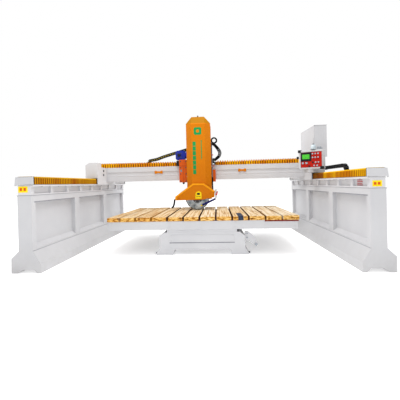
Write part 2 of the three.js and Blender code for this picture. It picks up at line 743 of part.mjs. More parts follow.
// The diamond blade: a thin disc with coolant slots between its segments.
function blade() {
  const slots = 18;
  const half = BLADE_THICK / 2;
  let disc = cut(
    bar('y', [BLADE_X, BLADE_Z], BLADE_Y - half, BLADE_Y + half, BLADE_RADIUS, 72),
    bar('y', [BLADE_X, BLADE_Z], BLADE_Y - PAST, BLADE_Y + PAST, SHAFT_RADIUS + GAP, 24),
  );
  for (let i = 0; i < slots; i += 1) {
    const slot = block(-2.5, 2.5, -PAST, PAST, BLADE_RADIUS - 17, BLADE_RADIUS + PAST)
      .rotate([0, (i * 360) / slots, 0])
      .translate([BLADE_X, BLADE_Y, BLADE_Z]);
    disc = cut(disc, slot);
  }
  return disc;
}

// The folded hood over the blade, open below, its outline drawn in by inset.
function guardForm(inset, foot) {
  const outline = [
    [-594 + inset, foot], [-585 + inset, 934], [-201, 1202 - inset], [26, 1197 - inset],
    [246 - inset, 1041], [253 - inset, 1021], [243 - inset, foot + 48], [10, foot + 2],
    [-554 + inset, foot - 8],
  ];
  return alongY(outline, GUARD_FRONT - PAST, GUARD_BACK + PAST);
}

function bladeGuard() {
  const plan = [
    [-201, GUARD_FRONT], [26, GUARD_FRONT], [260, GUARD_FRONT + 34], [260, GUARD_BACK],
    [-600, GUARD_BACK], [-600, GUARD_FRONT + 48],
  ];
  const room = [
    [-198, GUARD_FRONT + 8], [23, GUARD_FRONT + 8], [246, GUARD_FRONT + 42],
    [246, GUARD_BACK - 8], [-590, GUARD_BACK - 8], [-590, GUARD_FRONT + 56],
  ];
  const outer = guardForm(0, 858).intersect(alongZ(plan, 800, 1300));
  const inner = guardForm(10, 780).intersect(alongZ(room, 700, 1300));
  const passage = block(BLADE_X - 45, BLADE_X + 45, GUARD_BACK - 20, GUARD_BACK + PAST, 780, BLADE_Z + 45);
  return cut(outer, inner, passage);
}

const VALVE_AT = [280, 965];
const GUARD_RIGHT = 256;

// The valve body beside the guard and the bent pipe that wets the blade from the front.
function waterPipe() {
  const pipe = tube([
    [277, 222, 930], [277, 222, 902], [258, 221, 868], [190, 221, 837], [120, 220, 804],
    [40, 219, 769], [-30, 218, 738],
  ], 14, 16, 8);
  const [x, z] = VALVE_AT;
  return join(
    pipe,
    block(GUARD_RIGHT + GAP, 298, 207, 250, 915, 1000),
    bar('z', [277, 229], 995, 1060, 11, 12),
    bar('y', [x, z], 196, 212, 8, 12),
  );
}

function valveLever() {
  const [x, z] = VALVE_AT;
  const handle = alongY([[x + 4, z - 10], [x + 22, z - 17], [x + 40, z + 59], [x + 14, z + 65]], 185, 195);
  return join(bar('y', VALVE_AT, 184, 196 - GAP, 14, 16), handle);
}

// The rubber strip that hangs from the guard's left end.
function splashFlap() {
  const strip = ribbon([[-603, 876], [-604, 850], [-611, 790], [-630, 730], [-662, 686]], 8, 12);
  return alongY(strip, GUARD_FRONT + 52, GUARD_BACK);
}

// The cable bundle that loops from the carriage up to the head.
function cableBundle() {
  return tube([
    [213, 530, 2064], [244, 531, 2058], [302, 540, 2000], [354, 548, 1930], [380, 556, 1862],
    [362, 568, 1798], [312, 580, 1748], [262, 590, 1716], [SADDLE_STEP + 8, 594, 1708],
  ], 26, 22, 10);
}

add(saw, 'column_cover', columnCover(), 'orange');
add(saw, 'lift_slide', liftSlide(), 'steel');
add(saw, 'main_motor', mainMotor(), 'blue');
add(saw, 'motor_pulley', motorPulley(), 'steel', 0.3, 0.9);
add(saw, 'drive_belt', driveBelt(), 'black', 0.8, 0);
add(saw, 'spindle', spindle(), 'steel', 0.3, 0.9);
add(saw, 'clamp_flange', clampFlange(), 'steel', 0.3, 0.9);
add(saw, 'blade', blade(), 'steel', 0.35, 0.9);
add(saw, 'blade_guard', bladeGuard(), 'orange');
add(saw, 'water_pipe', waterPipe(), 'blue', 0.4, 0);
add(saw, 'valve_lever', valveLever(), 'red', 0.4, 0);
add(saw, 'splash_flap', splashFlap(), 'black', 0.8, 0);
add(saw, 'cable_bundle', cableBundle(), 'black', 0.8, 0);

export default saw;
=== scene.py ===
"""The looks of a stone bridge saw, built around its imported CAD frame.

Every length is in metres, in the CAD frame: +X to the operator's right, +Y away from the
operator, +Z up. CAD nodes keep their meshes and get materials and softened edges. The folded
covers, cable chains, planks and cables are replaced by detailed pieces, and small fittings are
added to the rest.
"""

import json
import math
import random

import bmesh
import bpy
import numpy as np
from mathutils import Matrix, Vector


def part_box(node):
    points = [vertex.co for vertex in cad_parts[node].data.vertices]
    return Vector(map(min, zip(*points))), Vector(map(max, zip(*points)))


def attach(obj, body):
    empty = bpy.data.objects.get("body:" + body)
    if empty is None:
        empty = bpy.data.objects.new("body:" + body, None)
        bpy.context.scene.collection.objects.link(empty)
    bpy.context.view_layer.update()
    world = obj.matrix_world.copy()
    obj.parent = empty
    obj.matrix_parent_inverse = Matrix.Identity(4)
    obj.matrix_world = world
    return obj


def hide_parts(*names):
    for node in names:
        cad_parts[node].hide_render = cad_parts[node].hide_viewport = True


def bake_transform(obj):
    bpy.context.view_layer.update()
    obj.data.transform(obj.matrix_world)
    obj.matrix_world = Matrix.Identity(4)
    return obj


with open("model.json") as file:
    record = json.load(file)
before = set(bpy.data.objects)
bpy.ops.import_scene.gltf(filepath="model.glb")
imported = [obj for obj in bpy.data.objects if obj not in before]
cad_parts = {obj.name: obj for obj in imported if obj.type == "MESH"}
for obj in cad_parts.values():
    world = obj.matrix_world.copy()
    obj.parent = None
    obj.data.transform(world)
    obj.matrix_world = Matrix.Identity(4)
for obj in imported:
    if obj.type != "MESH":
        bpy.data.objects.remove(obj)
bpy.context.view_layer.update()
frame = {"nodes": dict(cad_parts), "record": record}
random.seed(7)

# ------------------------------------------------------------------ camera

CAMERA_AT = Vector((0.314, -5.614, 1.195))
CAMERA_YAW = 0.0628
CAMERA_PITCH = -0.0045
CAMERA_ROLL = 0.0236
CAMERA_LENS = 25.09
CAMERA_SHIFT = -0.0378


def add_camera():
    """A level, slightly turned camera in front of the machine, about 1.2 m above the floor."""
    flat = math.cos(CAMERA_PITCH)
    ahead = Vector((-math.sin(CAMERA_YAW) * flat, math.cos(CAMERA_YAW) * flat, math.sin(CAMERA_PITCH)))
    right = Vector((math.cos(CAMERA_YAW), math.sin(CAMERA_YAW), 0.0))
    up = right.cross(ahead)
    turned_right = right * math.cos(CAMERA_ROLL) - up * math.sin(CAMERA_ROLL)
    turned_up = up * math.cos(CAMERA_ROLL) + right * math.sin(CAMERA_ROLL)
    data = bpy.data.cameras.new("camera")
    data.lens = CAMERA_LENS
    data.sensor_width = 36.0
    data.shift_y = CAMERA_SHIFT
    camera = bpy.data.objects.new("camera", data)
    axes = Matrix((turned_right, turned_up, -ahead)).transposed()
    camera.matrix_world = Matrix.Translation(CAMERA_AT) @ axes.to_4x4()
    bpy.context.scene.collection.objects.link(camera)
    bpy.context.scene.camera = camera


add_camera()

# ------------------------------------------------------------------ places that several parts share

BLADE_AXIS = Vector((-0.115, 0.245, 0.897))
BLADE_RIM = (0.231, 0.234)
MOTOR_AXIS = (-0.115, 2.300)
VALVE_AT = (0.277, 0.229)

# ------------------------------------------------------------------ materials

ROOF_BLUR = 0.004
DUST_AND_SHADE_HIGH = 0.5
MOST_DUST_AND_SHADE = 0.55


def linear(code):
    """A colour written as six hexadecimal digits, as the linear values that shaders take."""
    values = [int(code[i:i + 2], 16) / 255 for i in (0, 2, 4)]
    return [v / 12.92 if v <= 0.04045 else ((v + 0.055) / 1.055) ** 2.4 for v in values] + [1.0]


class Surface:
    """One node material, with short calls for the few kinds of node that these materials use."""

    def __init__(self, name):
        self.material = bpy.data.materials.new(name)
        self.material.use_nodes = True
        self.nodes = self.material.node_tree.nodes
        self.links = self.material.node_tree.links
        self.shader = self.nodes["Principled BSDF"]
        self.place = self.nodes.new("ShaderNodeTexCoord").outputs["Object"]

    def feed(self, socket, value):
        """Links a socket to another one, or sets it to a colour code, a number or a vector."""
        if isinstance(value, bpy.types.NodeSocket):
            self.links.new(value, socket)
        else:
            socket.default_value = linear(value) if isinstance(value, str) else value

    def calculate(self, kind, operation, first, second):
        node = self.nodes.new(kind)
        node.operation = operation
        self.feed(node.inputs[0], first)
        self.feed(node.inputs[1], second)
        return node.outputs

    def noise(self, scale, detail=4.0, along=(1, 1, 1), roughness=0.55):
        """Noise over the object's own space, drawn finer along the axes with a larger number."""
        stretched = self.nodes.new("ShaderNodeMapping")
        stretched.inputs["Scale"].default_value = along
        self.links.new(self.place, stretched.inputs["Vector"])
        node = self.nodes.new("ShaderNodeTexNoise")
        node.inputs["Scale"].default_value = scale
        node.inputs["Detail"].default_value = detail
        node.inputs["Roughness"].default_value = roughness
        self.links.new(stretched.outputs["Vector"], node.inputs["Vector"])
        return node.outputs["Fac"]

    def ramp(self, factor, *stops):
        """A band of colours, each stop given as its place and its colour code."""
        node = self.nodes.new("ShaderNodeValToRGB")
        band = node.color_ramp
        while len(band.elements) < len(stops):
            band.elements.new(0.5)
        for element, (at, code) in zip(band.elements, stops):
            element.position = at
            element.color = linear(code)
        self.links.new(factor, node.inputs["Fac"])
        return node.outputs["Color"]

    def mix(self, factor, a, b, kind="MIX"):
        node = self.nodes.new("ShaderNodeMix")
        node.data_type = "RGBA"
        node.blend_type = kind
        for number, value in ((0, factor), (6, a), (7, b)):
            self.feed(node.inputs[number], value)
        return node.outputs[2]

    def between(self, factor, low, high, start=0.0, end=1.0):
        """The factor's range from start to end, mapped onto low to high."""
        node = self.nodes.new("ShaderNodeMapRange")
        for key, value in (("From Min", start), ("From Max", end), ("To Min", low), ("To Max", high)):
            node.inputs[key].default_value = value
        self.links.new(factor, node.inputs["Value"])
        return node.outputs["Result"]

    def axis(self, letter):
        node = self.nodes.new("ShaderNodeSeparateXYZ")
        self.links.new(self.place, node.inputs[0])
        return node.outputs[letter]

    def attribute(self, name):
        node = self.nodes.new("ShaderNodeAttribute")
        node.attribute_name = name
        return node.outputs["Fac"]

    def bump(self, height, strength, distance):
        node = self.nodes.new("ShaderNodeBump")
        node.inputs["Strength"].default_value = strength
        node.inputs["Distance"].default_value = distance
        self.links.new(height, node.inputs["Height"])
        self.links.new(node.outputs["Normal"], self.shader.inputs["Normal"])

    def finish(self, colour, roughness, metallic=0.0, shine=0.5):
        self.feed(self.shader.inputs["Base Color"], colour)
        self.feed(self.shader.inputs["Specular IOR Level"], shine)
        self.feed(self.shader.inputs["Roughness"], roughness)
        self.feed(self.shader.inputs["Metallic"], metallic)
        return self.material


def enamel(name, light, dark, gloss=0.38, dust_and_shade=None, shine=0.12, roof=None):
    """Sprayed machine paint: slow drift of tone, orange peel, and dust with painted shade low down if
    given.

    roof is a height and a darker tone painted above it, as painted shade on the top faces.
    """
    s = Surface(name)
    colour = s.ramp(s.noise(1.7), (0.3, dark), (0.7, light))
    # Painted shade: everything above the roof height takes the darker tone.
    if roof:
        height, tone = roof
        above = s.between(s.axis("Z"), 0.0, 1.0, height - ROOF_BLUR, height + ROOF_BLUR)
        colour = s.mix(above, colour, tone)
    # Dust in patches and painted shade, darker towards the floor.
    if dust_and_shade:
        low = s.between(s.axis("Z"), MOST_DUST_AND_SHADE, 0.0, 0.0, DUST_AND_SHADE_HIGH)
        patches = s.noise(9.0, detail=8.0)
        dust_and_shade_mask = s.calculate("ShaderNodeMath", "MULTIPLY", low, patches)["Value"]
        colour = s.mix(dust_and_shade_mask, colour, dust_and_shade)
    s.bump(s.noise(240.0, detail=2.0), 0.12, 0.0006)
    return s.finish(colour, s.between(s.noise(30.0), gloss - 0.05, gloss + 0.1), shine=shine)


def steel(name, light, dark, along, rough=0.32):
    """Ground or rolled steel with fine lines along one direction and a film of oil in patches."""
    s = Surface(name)
    lines = s.noise(60.0, detail=6.0, along=along)
    colour = s.ramp(lines, (0.3, dark), (0.7, light))
    s.bump(lines, 0.18, 0.0005)
    return s.finish(colour, s.between(s.noise(6.0), rough - 0.08, rough + 0.12), 0.9)


def moulded(name, light, dark, rough=0.55, grain=900.0, shine=0.15):
    """Moulded plastic or rubber with a fine leathery grain."""
    s = Surface(name)
    colour = s.ramp(s.noise(14.0), (0.35, dark), (0.65, light))
    s.bump(s.noise(grain, detail=2.0), 0.25, 0.0004)
    return s.finish(colour, s.between(s.noise(40.0), rough - 0.06, rough + 0.1), shine=shine)


def pleated_cloth(name, peak, valley, top_shading_from, top_shading, stain, start=0.35, end=0.75):
    """Coated bellows cloth: bright on the fold edges, browner in the valleys as painted shade in the
    creases, with a fine weave.

    Above a given height it takes its own colour, as painted light and shade on the top of the folds.
    """
    s = Surface(name)
    # Painted shade: the valley colour darkens the cloth from the fold edges into the creases.
    colour = s.ramp(s.attribute("fold"), (start, valley), (end, peak))
    patches = s.noise(3.2, detail=5.0, along=(1.0, 1.0, 0.3))
    stains = s.ramp(patches, (0.40, stain), (0.58, "ffffff"))
    colour = s.mix(0.75, colour, stains, "MULTIPLY")
    # Painted light and shade: the top of the folds takes its own tone, lighter on the stand and rear
    # covers and darker on the beam covers.
    high = s.between(s.axis("Z"), 0.0, 0.8, top_shading_from, top_shading_from + 0.012)
    colour = s.mix(high, colour, top_shading)
    # Painted shade and painted shadow: the shade attribute browns the cloth towards a dark brown.
    colour = s.mix(s.attribute("shade"), colour, "5e2410")
    s.bump(s.noise(1400.0, detail=1.0), 0.3, 0.0003)
    return s.finish(colour, s.between(s.noise(25.0), 0.42, 0.6), shine=0.06)


def timber(name, pale, warm, streak, end=False):
    """Sawn pine: long grain along the plank, or rings and checks on its ends."""
    s = Surface(name)
    if end:
        fine = s.noise(11.0, detail=7.0, along=(1.3, 1.0, 3.4), roughness=0.65)
    else:
        fine = s.noise(17.0, detail=7.0, along=(2.2, 0.07, 2.0), roughness=0.62)
    colour = s.ramp(fine, (0.36, streak), (0.47, warm), (0.56, pale))
    tint = s.ramp(s.attribute("plank"), (0.0, "ecd3a6"), (0.5, "f8eedc"), (1.0, "ffffff"))
    colour = s.mix(0.8, colour, tint, "MULTIPLY")
    spots = s.noise(5.0, detail=3.0, along=(2.4, 0.5, 1.0))
    knots = s.ramp(spots, (0.64, "ffffff"), (0.72, "8a5526"))
    colour = s.mix(0.7, colour, knots, "MULTIPLY")
    s.bump(fine, 0.4, 0.0015)
    return s.finish(colour, s.between(fine, 0.62, 0.85), shine=0.15)


def blade_steel(name):
    """A rolled disc with faint turning rings and a darker sintered rim."""
    s = Surface(name)
    radius = s.calculate("ShaderNodeVectorMath", "DISTANCE", s.place, BLADE_AXIS)["Value"]
    disc = s.ramp(s.noise(9.0, detail=6.0), (0.38, "5c6872"), (0.62, "b8c2ca"))
    colour = s.mix(s.between(radius, 0.0, 1.0, *BLADE_RIM), disc, "5d5a50")
    rings = s.nodes.new("ShaderNodeTexWave")
    rings.wave_type = "RINGS"
    rings.rings_direction = "Y"
    rings.inputs["Scale"].default_value = 60.0
    centred = s.calculate("ShaderNodeVectorMath", "SUBTRACT", s.place, BLADE_AXIS)["Vector"]
    s.links.new(centred, rings.inputs["Vector"])
    s.bump(rings.outputs["Fac"], 0.12, 0.0004)
    return s.finish(colour, s.between(s.noise(12.0), 0.28, 0.45), 0.85)


def by_place(name, letter, low, low_code, code, high, high_code, rough):
    """Plastic in three colours along one axis: below low, between, and above high."""
    s = Surface(name)
    grain = s.noise(500.0, detail=2.0)
    tone = s.ramp(s.noise(30.0), (0.3, "dddddd"), (0.7, "ffffff"))
    place = s.axis(letter)
    colour = s.mix(s.between(place, 1.0, 0.0, low - 0.001, low + 0.001), code, low_code)
    colour = s.mix(s.between(place, 0.0, 1.0, high - 0.001, high + 0.001), colour, high_code)
    s.bump(grain, 0.2, 0.0004)
    return s.finish(s.mix(0.5, colour, tone, "MULTIPLY"), rough, shine=0.15)


def lit_screen(name):
    """A backlit display: rows of plain blocks, with no lettering."""
    s = Surface(name)
    spots = s.noise(120.0, detail=2.0, along=(1.0, 1.0, 2.2))
    colour = s.ramp(spots, (0.44, "2b8a30"), (0.52, "58cc3c"))
    s.links.new(colour, s.shader.inputs["Emission Color"])
    s.shader.inputs["Emission Strength"].default_value = 0.10
    return s.finish(colour, 0.2, shine=0.1)


MATERIALS = {
    # White paint, with dust and painted shade low down.
    "white_paint": enamel("white_enamel", "c4c4c6", "bcbcbf", dust_and_shade="a3a09d"),
    # A lighter copy of the white paint, as painted light on the beam, the left truck, the rail beds and
    # the beam's rear covers.
    "lit_white_paint": enamel("lit_white_enamel", "cfcfd1", "c8c7ca"),
    "orange_paint": enamel("orange_enamel", "d67f08", "ca7306", gloss=0.33, shine=0.08),
    # The column cover's orange, with painted shade on its sloped top.
    "cover_paint_shaded_top": enamel("cover_enamel_shaded_top", "d07a08", "c67006", gloss=0.33, shine=0.08,
                          roof=(2.482, "a86e01")),
    # A lighter orange, as a painted highlight on the blade guard's top edges.
    "highlight_orange": enamel("highlight_orange_enamel", "f6a818", "ea9a10", gloss=0.33, shine=0.08),
    "saddle_orange": enamel("saddle_enamel", "dd6420", "c4541a", gloss=0.4, shine=0.08),
    "blue_paint": enamel("blue_enamel", "2b39aa", "202c86", gloss=0.35, shine=0.1),
    "red_plastic": moulded("red_plastic", "d02a26", "b81d1c", 0.35),
    # The covers' cloths: browner valleys as painted shade, a lighter top on the stand and rear covers as
    # painted light, a darker top on the beam covers as painted shade.
    "bellows": pleated_cloth("stand_cloth", "e2aa04", "8c5204", 1.331, "f0c408", "d8a040"),
    "beam_cloth": pleated_cloth("beam_cloth", "f4b602", "7c3c06", 1.684, "8c4804", "d09028", 0.20, 0.64),
    "pale_cloth": pleated_cloth("pale_cloth", "c9c9cb", "9c9b9c", 1.333, "cfcfd1", "e4e0dc"),
    "wood": timber("plank_timber", "d8ccb8", "c9b490", "a07444"),
    "end_grain": timber("end_grain", "ecc982", "c48c34", "54280e", end=True),
    # The gaps' colour, darkest in the middle and lighter towards the ends, as painted shade between the
    # planks.
    "gap_shade_timber": by_place("gap_shade_timber", "X", -0.66, "b98222", "54281a", 1.08, "8a5a1c", 0.8),
    "ground_steel": steel("ground_steel", "a9adb2", "7d8288", (1.0, 14.0, 1.0)),
    "cast_grey": enamel("cast_grey", "55575b", "46484c", gloss=0.5),
    "seam_grey": enamel("seam_grey", "8f9096", "808187", gloss=0.5),
    "blade_steel": blade_steel("blade_steel"),
    "black_plastic": moulded("black_plastic", "232325", "151518"),
    "rubber": moulded("rubber", "1a1a1c", "0f0f11", 0.7, 500.0, shine=0.06),
    "blue_rubber": moulded("blue_rubber", "23246e", "1a1b58", 0.5, 500.0, shine=0.06),
    # A lighter copy of the white paint without the darkening low down, as painted light on the pedestal
    # and tilt arm under the table.
    "lit_pedestal_paint": enamel("lit_pedestal_enamel", "c6c6c8", "bebec1"),
    "chrome": steel("satin_caps", "c4ccd4", "98a4ae", (1.0, 1.0, 8.0), 0.22),
    "panel_red": moulded("panel_red", "b82418", "a61c12", 0.35, shine=0.06),
    "yellow_mark": moulded("yellow_mark", "f7dc1a", "ebcb0f", 0.4),
    "green_mark": enamel("green_mark", "1f9a52", "178644", gloss=0.4),
    "red_mark": enamel("red_mark", "b5333a", "a0292f", gloss=0.45),
    "dark_red": enamel("dark_red", "7c2a22", "64201a", gloss=0.5),
    "screen": lit_screen("screen_glow"),
    "navy_web": moulded("navy_web", "333c50", "252d3e", 0.8, 700.0),
    "lamp": moulded("lamp_shell", "c6d2d8", "aebbc2", 0.25),
    "brass": steel("brass", "c9b06a", "a08a48", (1.0, 1.0, 6.0), 0.3),
    "water_line": by_place("water_line", "X", 0.0, "e6cf20", "241f66", 0.2585, "cfd2d6", 0.4),
}

# ------------------------------------------------------------------ mesh making


def circle(count, start=0.0):
    """The cosine and sine of evenly spaced turns."""
    turns = [start + 2 * math.pi * i / count for i in range(count)]
    return [(math.cos(t), math.sin(t)) for t in turns]


def around(centre, radius, count, start=0.0):
    """Places on an upright circle that faces along Y."""
    x, y, z = centre
    return [(x + radius * c, y, z + radius * s) for c, s in circle(count, start)]


def squared(centre, wide, thick):
    """The four corners of a flat bar's section, from its half width and half thickness."""
    return [centre - wide - thick, centre + wide - thick, centre + wide + thick, centre - wide + thick]


class Shape:
    """Solids collected for one piece: vertices, faces and each face's material number."""

    def __init__(self):
        self.verts = []
        self.faces = []
        self.marks = []

    def loops(self, rings, mark=0, caps=True):
        """Joins rings of equally many points into a skin, closed at both ends if caps is set."""
        base = len(self.verts)
        count = len(rings[0])
        for ring in rings:
            self.verts += [tuple(p) for p in ring]
        for i in range(len(rings) - 1):
            for j in range(count):
                k = (j + 1) % count
                a = base + i * count
                self.faces.append((a + j, a + k, a + count + k, a + count + j))
                self.marks.append(mark)
        if caps:
            last = base + (len(rings) - 1) * count
            self.faces.append(tuple(base + j for j in reversed(range(count))))
            self.faces.append(tuple(last + j for j in range(count)))
            self.marks += [mark, mark]
        return self

    def box(self, low, high, mark=0):
        (x0, y0, z0), (x1, y1, z1) = low, high
        ring = [(x0, y0), (x1, y0), (x1, y1), (x0, y1)]
        return self.loops([[(x, y, z) for x, y in ring] for z in (z0, z1)], mark)

    def boxes(self, corners):
        for low, high in corners:
            self.box(low, high)
        return self

    def rod(self, start, end, radius, sides=20, end_radius=None, mark=0):
        """A round bar or cone between two points."""
        start, end = Vector(start), Vector(end)
        along = (end - start).normalized()
        side = along.orthogonal().normalized()
        other = along.cross(side)
        rings = []
        for centre, r in ((start, radius), (end, radius if end_radius is None else end_radius)):
            rings.append([centre + side * r * c + other * r * s for c, s in circle(sides)])
        return self.loops(rings, mark)

    def rods(self, bars):
        for bar in bars:
            self.rod(*bar)
        return self

    def prism(self, outline, low, high, axis, mark=0):
        """An outline run along one axis; its points give the other two axes in X, Y, Z order."""
        def placed(a, b, c):
            return {"X": (c, a, b), "Y": (a, c, b), "Z": (a, b, c)}[axis]
        return self.loops([[placed(a, b, c) for a, b in outline] for c in (low, high)], mark)

    def ball(self, centre, radius, sides=16):
        """A sphere, as rings from pole to pole with small flats at both ends."""
        x, y, z = centre
        rings = []
        for i in range(9):
            tilt = math.pi * (0.04 + 0.92 * i / 8)
            wide = radius * math.sin(tilt)
            high = z - radius * math.cos(tilt)
            rings.append([(x + wide * c, y + wide * s, high) for c, s in circle(sides)])
        return self.loops(rings)

    def hoop(self, centre, radius, thick, turns=40, sides=12):
        """A ring of round bar that stands in the XZ plane."""
        centre = Vector(centre)
        rings = []
        for c, s in circle(turns):
            out = Vector((c, 0, s))
            rings.append([centre + out * (radius + thick * a) + Vector((0, thick * b, 0))
                          for a, b in circle(sides)])
        return self.loops(rings + rings[:1], caps=False)

    def moved(self, matrix):
        self.verts = [tuple(matrix @ Vector(v)) for v in self.verts]
        return self

    def piece(self, name, body, materials, bevel=0.0, smooth=False, node=None, slot=None):
        """Makes the Blender object and lets it ride on its body."""
        mesh = bpy.data.meshes.new(name)
        mesh.from_pydata(self.verts, [], self.faces)
        mesh.validate()
        for key in materials:
            mesh.materials.append(MATERIALS[key])
        for polygon, mark in zip(mesh.polygons, self.marks):
            polygon.material_index = mark
        mesh.update()
        obj = bpy.data.objects.new(name, mesh)
        bpy.context.scene.collection.objects.link(obj)
        outward(obj)
        if smooth:
            mesh.shade_smooth()
        if bevel:
            soften(obj, bevel)
        if body:
            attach(obj, body)
        if node:
            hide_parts(node)
        return obj


def outward(obj):
    """Turns every closed solid's faces to point out."""
    work = bmesh.new()
    work.from_mesh(obj.data)
    bmesh.ops.recalc_face_normals(work, faces=work.faces)
    work.to_mesh(obj.data)
    work.free()


def soften(obj, width, weld=False):
    """Rounds an object's hard edges with modifiers, so that they catch the light."""
    if weld:
        obj.modifiers.new("weld", "WELD").merge_threshold = 0.00005
        flat = obj.modifiers.new("flat", "DECIMATE")
        flat.decimate_type = "DISSOLVE"
        flat.angle_limit = math.radians(0.5)
    bevel = obj.modifiers.new("bevel", "BEVEL")
    bevel.width = width
    bevel.segments = 2
    bevel.limit_method = "ANGLE"
    bevel.angle_limit = math.radians(32)
    bevel.use_clamp_overlap = True


def box_piece(name, body, corners, key, bevel=0.002):
    return Shape().boxes(corners).piece(name, body, [key], bevel=bevel)


def rod_piece(name, body, bars, key, bevel=0.0):
    return Shape().rods(bars).piece(name, body, [key], bevel=bevel)


def plate(name, body, low, high, key, bevel=0.002):
    return box_piece(name, body, [(low, high)], key, bevel)


def bolts(name, body, places, along, size=0.010, key="ground_steel"):
    """Hexagon heads on washers, standing out from a surface in one direction."""
    along = Vector(along).normalized()
    shape = Shape()
    for place in places:
        foot = Vector(place)
        shape.rod(foot - along * 0.001, foot + along * 0.002, size * 1.5, 16)
        shape.rod(foot + along * 0.001, foot + along * size * 0.9, size, 6)
    return shape.piece(name, body, [key])


def spread(low, high, count):
    return [low + (high - low) * i / (count - 1) for i in range(count)]


def mirrored_box(name, body, side, corners, key, bevel=0.002):
    """Boxes given for the right-hand side, as one piece on either side."""
    placed = []
    for (x0, y0, z0), (x1, y1, z1) in corners:
        a, b = sorted((side * x0, side * x1))
        placed.append(((a, y0, z0), (b, y1, z1)))
    return box_piece(name, body, placed, key, bevel)


# ------------------------------------------------------------------ the cable bundle

BUNDLE = [
    (0.213, 0.530, 2.064), (0.244, 0.531, 2.058), (0.302, 0.540, 2.000), (0.354, 0.548, 1.930),
    (0.380, 0.556, 1.862), (0.362, 0.568, 1.798), (0.312, 0.580, 1.748), (0.262, 0.590, 1.716),
    (0.223, 0.594, 1.708),
]
CABLE = 0.0215
BUNDLE_SPREAD = 0.32
CABLES_AROUND = 6
CABLE_SIDES = 10


def smooth_line(points, count):
    """Evenly spaced points on a smooth line through the given ones."""
    p = [Vector(q) for q in points]
    p = [p[0] * 2 - p[1]] + p + [p[-1] * 2 - p[-2]]
    dense = []
    for i in range(1, len(p) - 2):
        for step in range(24):
            t = step / 24
            dense.append(0.5 * (
                2 * p[i] + (p[i + 1] - p[i - 1]) * t
                + (2 * p[i - 1] - 5 * p[i] + 4 * p[i + 1] - p[i + 2]) * t * t
                + (3 * p[i] - p[i - 1] - 3 * p[i + 1] + p[i + 2]) * t ** 3))
    dense.append(p[-2])
    far = [0.0]
    for a, b in zip(dense, dense[1:]):
        far.append(far[-1] + (b - a).length)
    spaced = []
    for i in range(count):
        goal = far[-1] * i / (count - 1)
        k = min(max(int(np.searchsorted(far, goal)) - 1, 0), len(dense) - 2)
        part = (goal - far[k]) / max(far[k + 1] - far[k], 1e-9)
        spaced.append(dense[k].lerp(dense[k + 1], part))
    return spaced


def line_length(points):
    return sum((b - a).length for a, b in zip(points, points[1:]))


def frames_along(points, across=(0, 1, 0)):
    """At each point: the direction along the line and two steady directions across it."""
    across = Vector(across)
    found = []
    for i, point in enumerate(points):
        ahead = (points[min(i + 1, len(points) - 1)] - points[max(i - 1, 0)]).normalized()
        side = (across - ahead * across.dot(ahead)).normalized()
        found.append((point, ahead, side, ahead.cross(side)))
    return found


def hose(name, points, radius, key, body, sides=12, **extra):
    """A smooth round tube along the points."""
    rings = []
    for point, _, side, other in frames_along(points):
        rings.append([point + side * radius * c + other * radius * s for c, s in circle(sides)])
    return Shape().loops(rings).piece(name, body, [key], smooth=True, **extra)


def blend_by(piece):
    """Bakes a piece's placement into its mesh."""
    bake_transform(piece)


def cable_bundle():
    """Seven cables, six around one in the middle, from the head down to the carriage."""
    middle = frames_along(smooth_line(BUNDLE, 60))
    out = CABLE * 1.03
    for number, (c, s) in enumerate(circle(CABLES_AROUND) + [(0.0, 0.0)]):
        path = []
        for i, (point, _, side, other) in enumerate(middle):
            loose = 1 + BUNDLE_SPREAD * math.sin(math.pi * i / (len(middle) - 1)) ** 2
            path.append(point + side * out * c + other * out * loose * s)
        cable = hose(f"cable_{number + 1}", path, CABLE / 2, "rubber", None, CABLE_SIDES,
                     node="cable_bundle", slot="rubber")
        blend_by(cable)


cable_bundle()

# ------------------------------------------------------------------ accordion covers

# By the axis that a cover runs along: the pitch of its folds, and how far a valley lies inside
# a peak at the sides and on top.
FOLDS = {"Y": (0.050, 0.013, 0.021), "X": (0.054, 0.016, 0.041)}
CLOTH = 0.003
COVER_SPARE = 0.007
# How strong the painted shadow is on the far end of a cover.
FAR_END_SHADE = 0.75


def channel(inner, outer, foot, top, inset, drop):
    """The section of a folded cover at one fold: a channel open below, as a closed outline."""
    lap = 0.014
    a, b, high = inner + inset, outer - inset, top - drop
    outside = [(a, foot), (a, high - lap), (a + lap, high), (b - lap, high), (b, high - lap), (b, foot)]
    c = CLOTH
    inside = [(b - c, foot), (b - c, high - lap - c), (b - lap - c, high - c), (a + lap + c, high - c),
              (a + c, high - lap - c), (a + c, foot)]
    return outside + inside


def accordion(node, key, along, shade_from=1.0, shade_all_over=0.0):
    """Replaces a plain cover with a folded one.

    The cloth gets painted shade all over by the given amount, and more beyond the share shade_from of its
    length, as a painted shadow.
    """
    low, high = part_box(node)
    high.z += COVER_SPARE
    pitch, inset, drop = FOLDS[along]
    i = "XY".index(along)
    j = 1 - i
    steps = 2 * max(4, round((high[i] - low[i]) / pitch))
    rings = []
    fold = []
    shade = []
    weights = []
    for n in range(steps + 1):
        share = n / steps
        valley = n % 2
        at = low[i] + (high[i] - low[i]) * share
        section = channel(low[j], high[j], low.z, high.z, inset * valley, drop * valley)
        rings.append([(a, at, z) if along == "Y" else (at, a, z) for a, z in section])
        fold += [1.0 - valley] * len(section)
        # Painted shadow beyond shade_from, and painted shade all over where given.
        shade += [FAR_END_SHADE if share > shade_from else shade_all_over] * len(section)
        weights += [share] * len(section)
    cover = Shape().loops(rings).piece(f"{node}_folds", None, [key], node=node, slot="bellows")
    for name, values in (("fold", fold), ("shade", shade)):
        tone = cover.data.attributes.new(name, "FLOAT", "POINT")
        tone.data.foreach_set("value", values)
    end = low.copy()
    end[i] = high[i]
    blend_by(cover)


